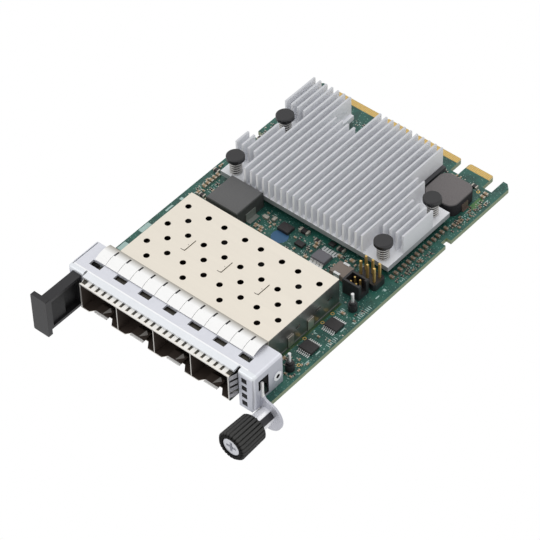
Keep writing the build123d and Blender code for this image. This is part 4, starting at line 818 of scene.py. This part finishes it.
# %% Board fields
FIELDS = {
    "behind the cage": (-13, 26, -69.9, -54, 190),
    "right of the cage": (29.6, 37.4, -103.5, -68, 110),
    "right of the heatsink": (33.2, 37.4, -54, -9.4, 130),
    "by the left inductor": (-36.6, -29.8, -66, -54, 45),
    "by the rear inductor": (19.8, 37, -24.5, -9.4, 70),
    "left of the heatsink": (-37.4, -33, -53, -9.4, 60),
    "behind the heatsink": (-36, 31, -8.9, -6.4, 70),
}
STANDING = {
    "cage": (-29.4, 29.4, -120, -70.2),
    "left inductor": (-28.7, -13.4, -67.2, -54),
    "heatsink": (-33, 33, -53.7, -9),
    "rear inductor": (19.6, 33.6, -23.4, -10),
    "pin header": (25.7, 34.1, -61.3, -55.4),
    "shrouded header": (25.8, 32.8, -67.2, -61.7),
    "front post": (32.3, 35.7, -101.6, -98.2),
    "rear post": (31.4, 34.8, -72.1, -68.7),
    "power chip": (9.7, 16.2, -65.6, -55.4),
    "capacitor block": (18.1, 24.6, -65.4, -57),
    "rear edge chip": (30.0, 36.2, -83.6, -74.4),
    "front edge chip": (30.0, 36.2, -94.9, -85.7),
    "right capacitor row": (32.9, 34.9, -53.6, -26.1),
    "left capacitor row": (-35.4, -33.8, -59.5, -52.4),
    "rear capacitor": (33.4, 35, -10, -7.6),
    "blue field": (-6, 0, -63.8, -55.6),
    "chip by the blue field": (2, 6.2, -61.2, -58.4),
    "chip by the heatsink": (10.4, 13, -54.8, -52.8),
    "notch in the right edge": (35, 39, -36.5, -27.5),
}
taken = list(STANDING.values())


def claim(x, y, half_x, half_y, gap):
    """Take a place on the board if nothing else stands there."""
    for x0, x1, y0, y1 in taken:
        clear_x = x + half_x + gap <= x0 or x - half_x - gap >= x1
        clear_y = y + half_y + gap <= y0 or y - half_y - gap >= y1
        if not (clear_x or clear_y):
            return False
    taken.append((x - half_x, x + half_x, y - half_y, y + half_y))
    return True


print("fields:", len(FIELDS), "standing:", len(STANDING))

# %% [markdown]
# ## Small part shapes
# A chip capacitor or resistor is a small block with a tinned cap at each end. Hundreds of single objects
# would be slow to handle, so all blocks of one kind go into one mesh of plain boxes. The caps stand out a
# little from the body.

# %% Part shapes
CUBE = ((3, 2, 1, 0), (4, 5, 6, 7), (0, 1, 5, 4), (1, 2, 6, 5), (2, 3, 7, 6), (3, 0, 4, 7))
CAP_SHARE, CAP_STEP = 0.22, 0.02
small = {"tan": [], "dark": [], "ends": [], "pads": []}


def flat_box(x, y, half_x, half_y, top):
    """A box standing on the board about a middle point."""
    return x - half_x, x + half_x, y - half_y, y + half_y, 0, top


def add_boxes(name, boxes, material):
    points, faces = [], []
    for x0, x1, y0, y1, z0, z1 in boxes:
        start = len(points)
        points += [(x, y, z) for z in (z0, z1) for x, y in ((x0, y0), (x1, y0), (x1, y1), (x0, y1))]
        faces += [tuple(start + corner for corner in face) for face in CUBE]
    return add_mesh(name, points, faces, material)


def chip_part(x, y, long, wide, tall, body, along_x):
    """A body with a tinned cap at each end, lying along X or along Y."""
    end, joint = long / 2, long / 2 - long * CAP_SHARE
    for low, high, kind in ((-joint, joint, body), (-end, -joint, "ends"), (joint, end, "ends")):
        across = wide / 2 + (CAP_STEP if kind == "ends" else 0)
        if along_x:
            small[kind].append((x + low, x + high, y - across, y + across, 0, tall))
        else:
            small[kind].append((x - across, x + across, y + low, y + high, 0, tall))


print("part kinds:", list(small))

# %% [markdown]
# ## Scattered parts
# Five larger parts stand where the photo shows them. The others are drawn from four kinds with a fixed
# seed, so that each run gives the same board. After the parts of a field come its small bare pads.

# %% Board parts
KINDS = ((1.0, 0.5, 0.45, "tan"), (1.0, 0.5, 0.3, "dark"), (1.6, 0.8, 0.5, "tan"), (2.0, 1.25, 0.85, "dark"))
KIND_WEIGHTS = (5, 5, 2, 1)
PART_GAP, PAD_GAP = 0.12, 0.05
PAD_HALVES, PAD_SHAPE, PAD_TOP = (0.15, 0.2, 0.3), 0.7, 0.03
LARGER_PARTS = (
    (1.8, -54.9, 3.4, 1.6, 0.9, "dark", True), (15.2, -53.9, 2.6, 1.3, 0.8, "dark", True),
    (-11.2, -57.6, 2.0, 1.2, 0.8, "ends", True), (-8.6, -56.6, 1.7, 1.1, 0.8, "ends", False),
    (20.6, -55.3, 1.8, 1.0, 0.6, "tan", True),
)
for x, y, long, wide, tall, body, along_x in LARGER_PARTS:
    taken.append((x - long / 2, x + long / 2, y - long / 2, y + long / 2))
    chip_part(x, y, long, wide, tall, body, along_x)
random.seed(11)
for x0, x1, y0, y1, tries in FIELDS.values():
    for _ in range(tries):
        long, wide, tall, body = random.choices(KINDS, KIND_WEIGHTS)[0]
        along_x = random.random() < 0.5
        half_x, half_y = (long / 2, wide / 2) if along_x else (wide / 2, long / 2)
        x, y = random.uniform(x0 + half_x, x1 - half_x), random.uniform(y0 + half_y, y1 - half_y)
        if claim(x, y, half_x, half_y, PART_GAP):
            chip_part(x, y, long, wide, tall, body, along_x)
    for _ in range(tries):
        x, y, half = random.uniform(x0, x1), random.uniform(y0, y1), random.choice(PAD_HALVES)
        if claim(x, y, half, half, PAD_GAP):
            small["pads"].append(flat_box(x, y, half, half * PAD_SHAPE, PAD_TOP))
add_boxes("small_capacitors", small["tan"], ceramic_tan)
add_boxes("small_resistors", small["dark"], chip_black)
add_boxes("small_part_ends", small["ends"], solder)
add_boxes("bare_pads", small["pads"], solder)
print("small parts:", len(small["tan"]) + len(small["dark"]))

# %% [markdown]
# ## Print on the board
# The pale print on the board is kept as plain bars. The larger ones stand where the photo shows them,
# three ladders of short bars lie along the right edge, and fine ones are scattered in the room that is
# left. They are thin boxes, so that they are in the mesh and not only in a material.

# %% Print bars
BAR_TOP, BAR_GAP = 0.02, 0.04
LADDERS = ((36.5, -69.2, 8), (36.6, -84.2, 6), (31.0, -73.2, 4))
LADDER_PITCH, RUNG_HALF_X, RUNG_HALF_Y = 0.75, 0.65, 0.14
FINE_BARS = ((0.4, 0.09), (0.09, 0.4), (0.6, 0.09), (0.15, 0.25))
RIGHT_BARS = (
    (36.0, -78.5, 0.2, 1.0), (36.2, -90.0, 0.2, 1.0), (36.1, -94.9, 0.2, 1.0), (36.8, -74.2, 0.5, 0.5),
    (35.6, -62.0, 0.2, 0.8), (35.4, -58.4, 0.5, 0.4), (34.6, -18.0, 0.5, 0.12), (36.0, -13.9, 0.2, 0.9),
    (36.1, -10.3, 0.2, 0.9), (30.8, -24.9, 1.0, 0.12), (34.2, -17.2, 0.12, 0.8),
)
LEFT_BARS = (
    (-29.2, -61.5, 0.12, 5.5), (-33.2, -63.0, 0.12, 1.4), (-36.9, -83.6, 0.8, 2.2), (-36.8, -93.6, 0.8, 1.8),
    (-36.8, -72.8, 0.3, 1.6), (-36.6, -67.4, 0.5, 0.6), (-35.2, -64.2, 0.12, 1.6), (-35.6, -76.4, 0.12, 1.2),
    (-35.4, -88.6, 0.4, 0.8),
)
print_bars = [flat_box(*bar, BAR_TOP) for bar in RIGHT_BARS + LEFT_BARS]
for x, y, count in LADDERS:
    for i in range(count):
        middle = y + (i - (count - 1) / 2) * LADDER_PITCH
        print_bars.append(flat_box(x, middle, RUNG_HALF_X, RUNG_HALF_Y, BAR_TOP))
for x0, x1, y0, y1, tries in FIELDS.values():
    for _ in range(tries):
        half_x, half_y = random.choice(FINE_BARS)
        x, y = random.uniform(x0 + half_x, x1 - half_x), random.uniform(y0 + half_y, y1 - half_y)
        if claim(x, y, half_x, half_y, BAR_GAP):
            print_bars.append(flat_box(x, y, half_x, half_y, BAR_TOP))
add_boxes("print_bars", print_bars, silk_white)
print("print bars:", len(print_bars))

# %% [markdown]
# ## Bare copper and colour fields
# The power chip's leads end on bright pads, and gold rings mark the plated holes. A round blue field lies
# by the cage, a dark green line runs along the cage's rim, and a paler pour lies by the rear inductor. A
# ring is a square section carried round a circle, and the blue field is a ring with next to no hole.

# %% Pads, rings and fields
LEAD_ROWS, LEAD_COUNT, LEAD_PITCH, LEAD_START = (-64.75, -56.25), 6, 1.0, 10.45
PAD_HALF_X, PAD_HALF_Y, LEAD_PAD_TOP = 0.36, 0.75, 0.04
HOLES = ((35.0, -97.1), (35.1, -21.5), (29.6, -88.1), (29.6, -80.0), (29.6, -75.4), (31.6, -8.4))
HOLE_RADIUS, RING_RADIUS, RING_TOP, RING_SIDES = 0.36, 0.6, 0.04, 24
BLUE_MIDDLE, BLUE_HOLE, BLUE_RADIUS, BLUE_SIDES = (-2.9, -60.9), 0.05, 2.75, 48
RIM_AREA, POUR_AREA, FIELD_TOP = (28.75, 29.35, -103.5, -70.6), (33.3, 35.3, -15.6, -10.2), 0.015


def ring_mesh(centres, inner, outer, top, sides):
    points, faces = [], []
    for x, y in centres:
        start = len(points)
        for i in range(sides):
            angle = 2 * math.pi * i / sides
            for radius, z in ((inner, 0), (inner, top), (outer, top), (outer, 0)):
                points.append((x + radius * math.cos(angle), y + radius * math.sin(angle), z))
        for i in range(sides):
            a, b = start + 4 * i, start + 4 * ((i + 1) % sides)
            faces += [(a + j, a + (j + 1) % 4, b + (j + 1) % 4, b + j) for j in range(4)]
    return points, faces


lead_pads = [
    flat_box(LEAD_START + i * LEAD_PITCH, y, PAD_HALF_X, PAD_HALF_Y, LEAD_PAD_TOP)
    for y in LEAD_ROWS for i in range(LEAD_COUNT)
]
add_boxes("power_chip_pads", lead_pads, tin)
green_pour = finish("bright pour", (0.075, 0.20, 0.06), rough=0.45)
rim_green = finish("rim mask", (0.018, 0.060, 0.010), rough=0.45)
blue_print = finish("blue print", (0.035, 0.115, 0.235), rough=0.5)
add_mesh("plated_rings", *ring_mesh(HOLES, HOLE_RADIUS, RING_RADIUS, RING_TOP, RING_SIDES), gold)
blue_ring = ring_mesh([BLUE_MIDDLE], BLUE_HOLE, BLUE_RADIUS, FIELD_TOP, BLUE_SIDES)
add_mesh("blue_field", *blue_ring, blue_print)
add_boxes("rim_line", [(*RIM_AREA, 0, BAR_TOP)], rim_green)
add_boxes("bright_field", [(*POUR_AREA, 0, FIELD_TOP)], green_pour)
print("lead pads:", len(lead_pads), "rings:", len(HOLES))

# %% [markdown]
# ## Marks on the cage
# Each divider's tab shows on the cage's top as a slit with a short foot and a tick, and three small dots
# lie behind the flange. Cutting them would weigh the solids down for a hair's breadth, so they are thin
# dark fields on the sheet, painted shade in place of the cuts.

# %% Cage top marks
MARK_TOP = cage_high.z + 0.015
FOOT_X, FOOT_Y = (-1.3, -0.05), (-90.5, -90.28)
TICK_X, TICK_Y = (-0.7, -0.1), (-87.9, -87.75)
DOT_PLACES, DOT_HALF, DOT_Y = (-27.4, -17.9, -3.0), 0.2, (-103.3, -102.9)
# Painted shade for the slits and dots
slit_dark = finish("slit shade", (0.075, 0.067, 0.055), rough=0.6)
marks = []
for number in range(1, PORT_COUNT):
    divider_x = sum(corner.x for corner in box_mm(f"cage_divider_{number}")) / 2
    for (x0, x1), y_span in ((FOOT_X, FOOT_Y), (TICK_X, TICK_Y)):
        marks.append((divider_x + x0, divider_x + x1, *y_span, cage_high.z, MARK_TOP))
for x in DOT_PLACES:
    marks.append((*around(x, DOT_HALF), *DOT_Y, cage_high.z, MARK_TOP))
add_boxes("cage_top_marks", marks, slit_dark)
print("cage marks:", len(marks))

# %% [markdown]
# ## Latch openings
# The latch tongue in each port has a three-sided opening that lets light up from below. In the dark port
# it reads as a paler triangle. A hole through the tongue would show only the dark floor here, so a thin
# triangular prism on the slope of each tongue carries that light as a painted patch of light.

# %% Latch openings
TONGUE_LIP_Y, TONGUE_LIP_TOP = -119.8, 1.37
TONGUE_SLOPE = 0.4 / 3.8
OPENING_CORNERS = ((0.1, -118.9), (2.0, -116.9), (0.6, -115.9))
OPENING_DEPTH = 0.03
# Painted light through each latch opening
opening_grey = finish("latch opening", (0.34, 0.32, 0.30), rough=0.6)
points, faces = [], []
for port_x in PORTS:
    start = len(points)
    for lift in (0, OPENING_DEPTH):
        for x, y in OPENING_CORNERS:
            points.append((port_x + x, y, TONGUE_LIP_TOP + (y - TONGUE_LIP_Y) * TONGUE_SLOPE + lift))
    faces += [(start + 2, start + 1, start), (start + 3, start + 4, start + 5)]
    faces += [(start + i, start + (i + 1) % 3, start + 3 + (i + 1) % 3, start + 3 + i) for i in range(3)]
add_mesh("latch_openings", points, faces, opening_grey)
print("latch openings:", len(PORTS))

# %% Finish
print("scene built")
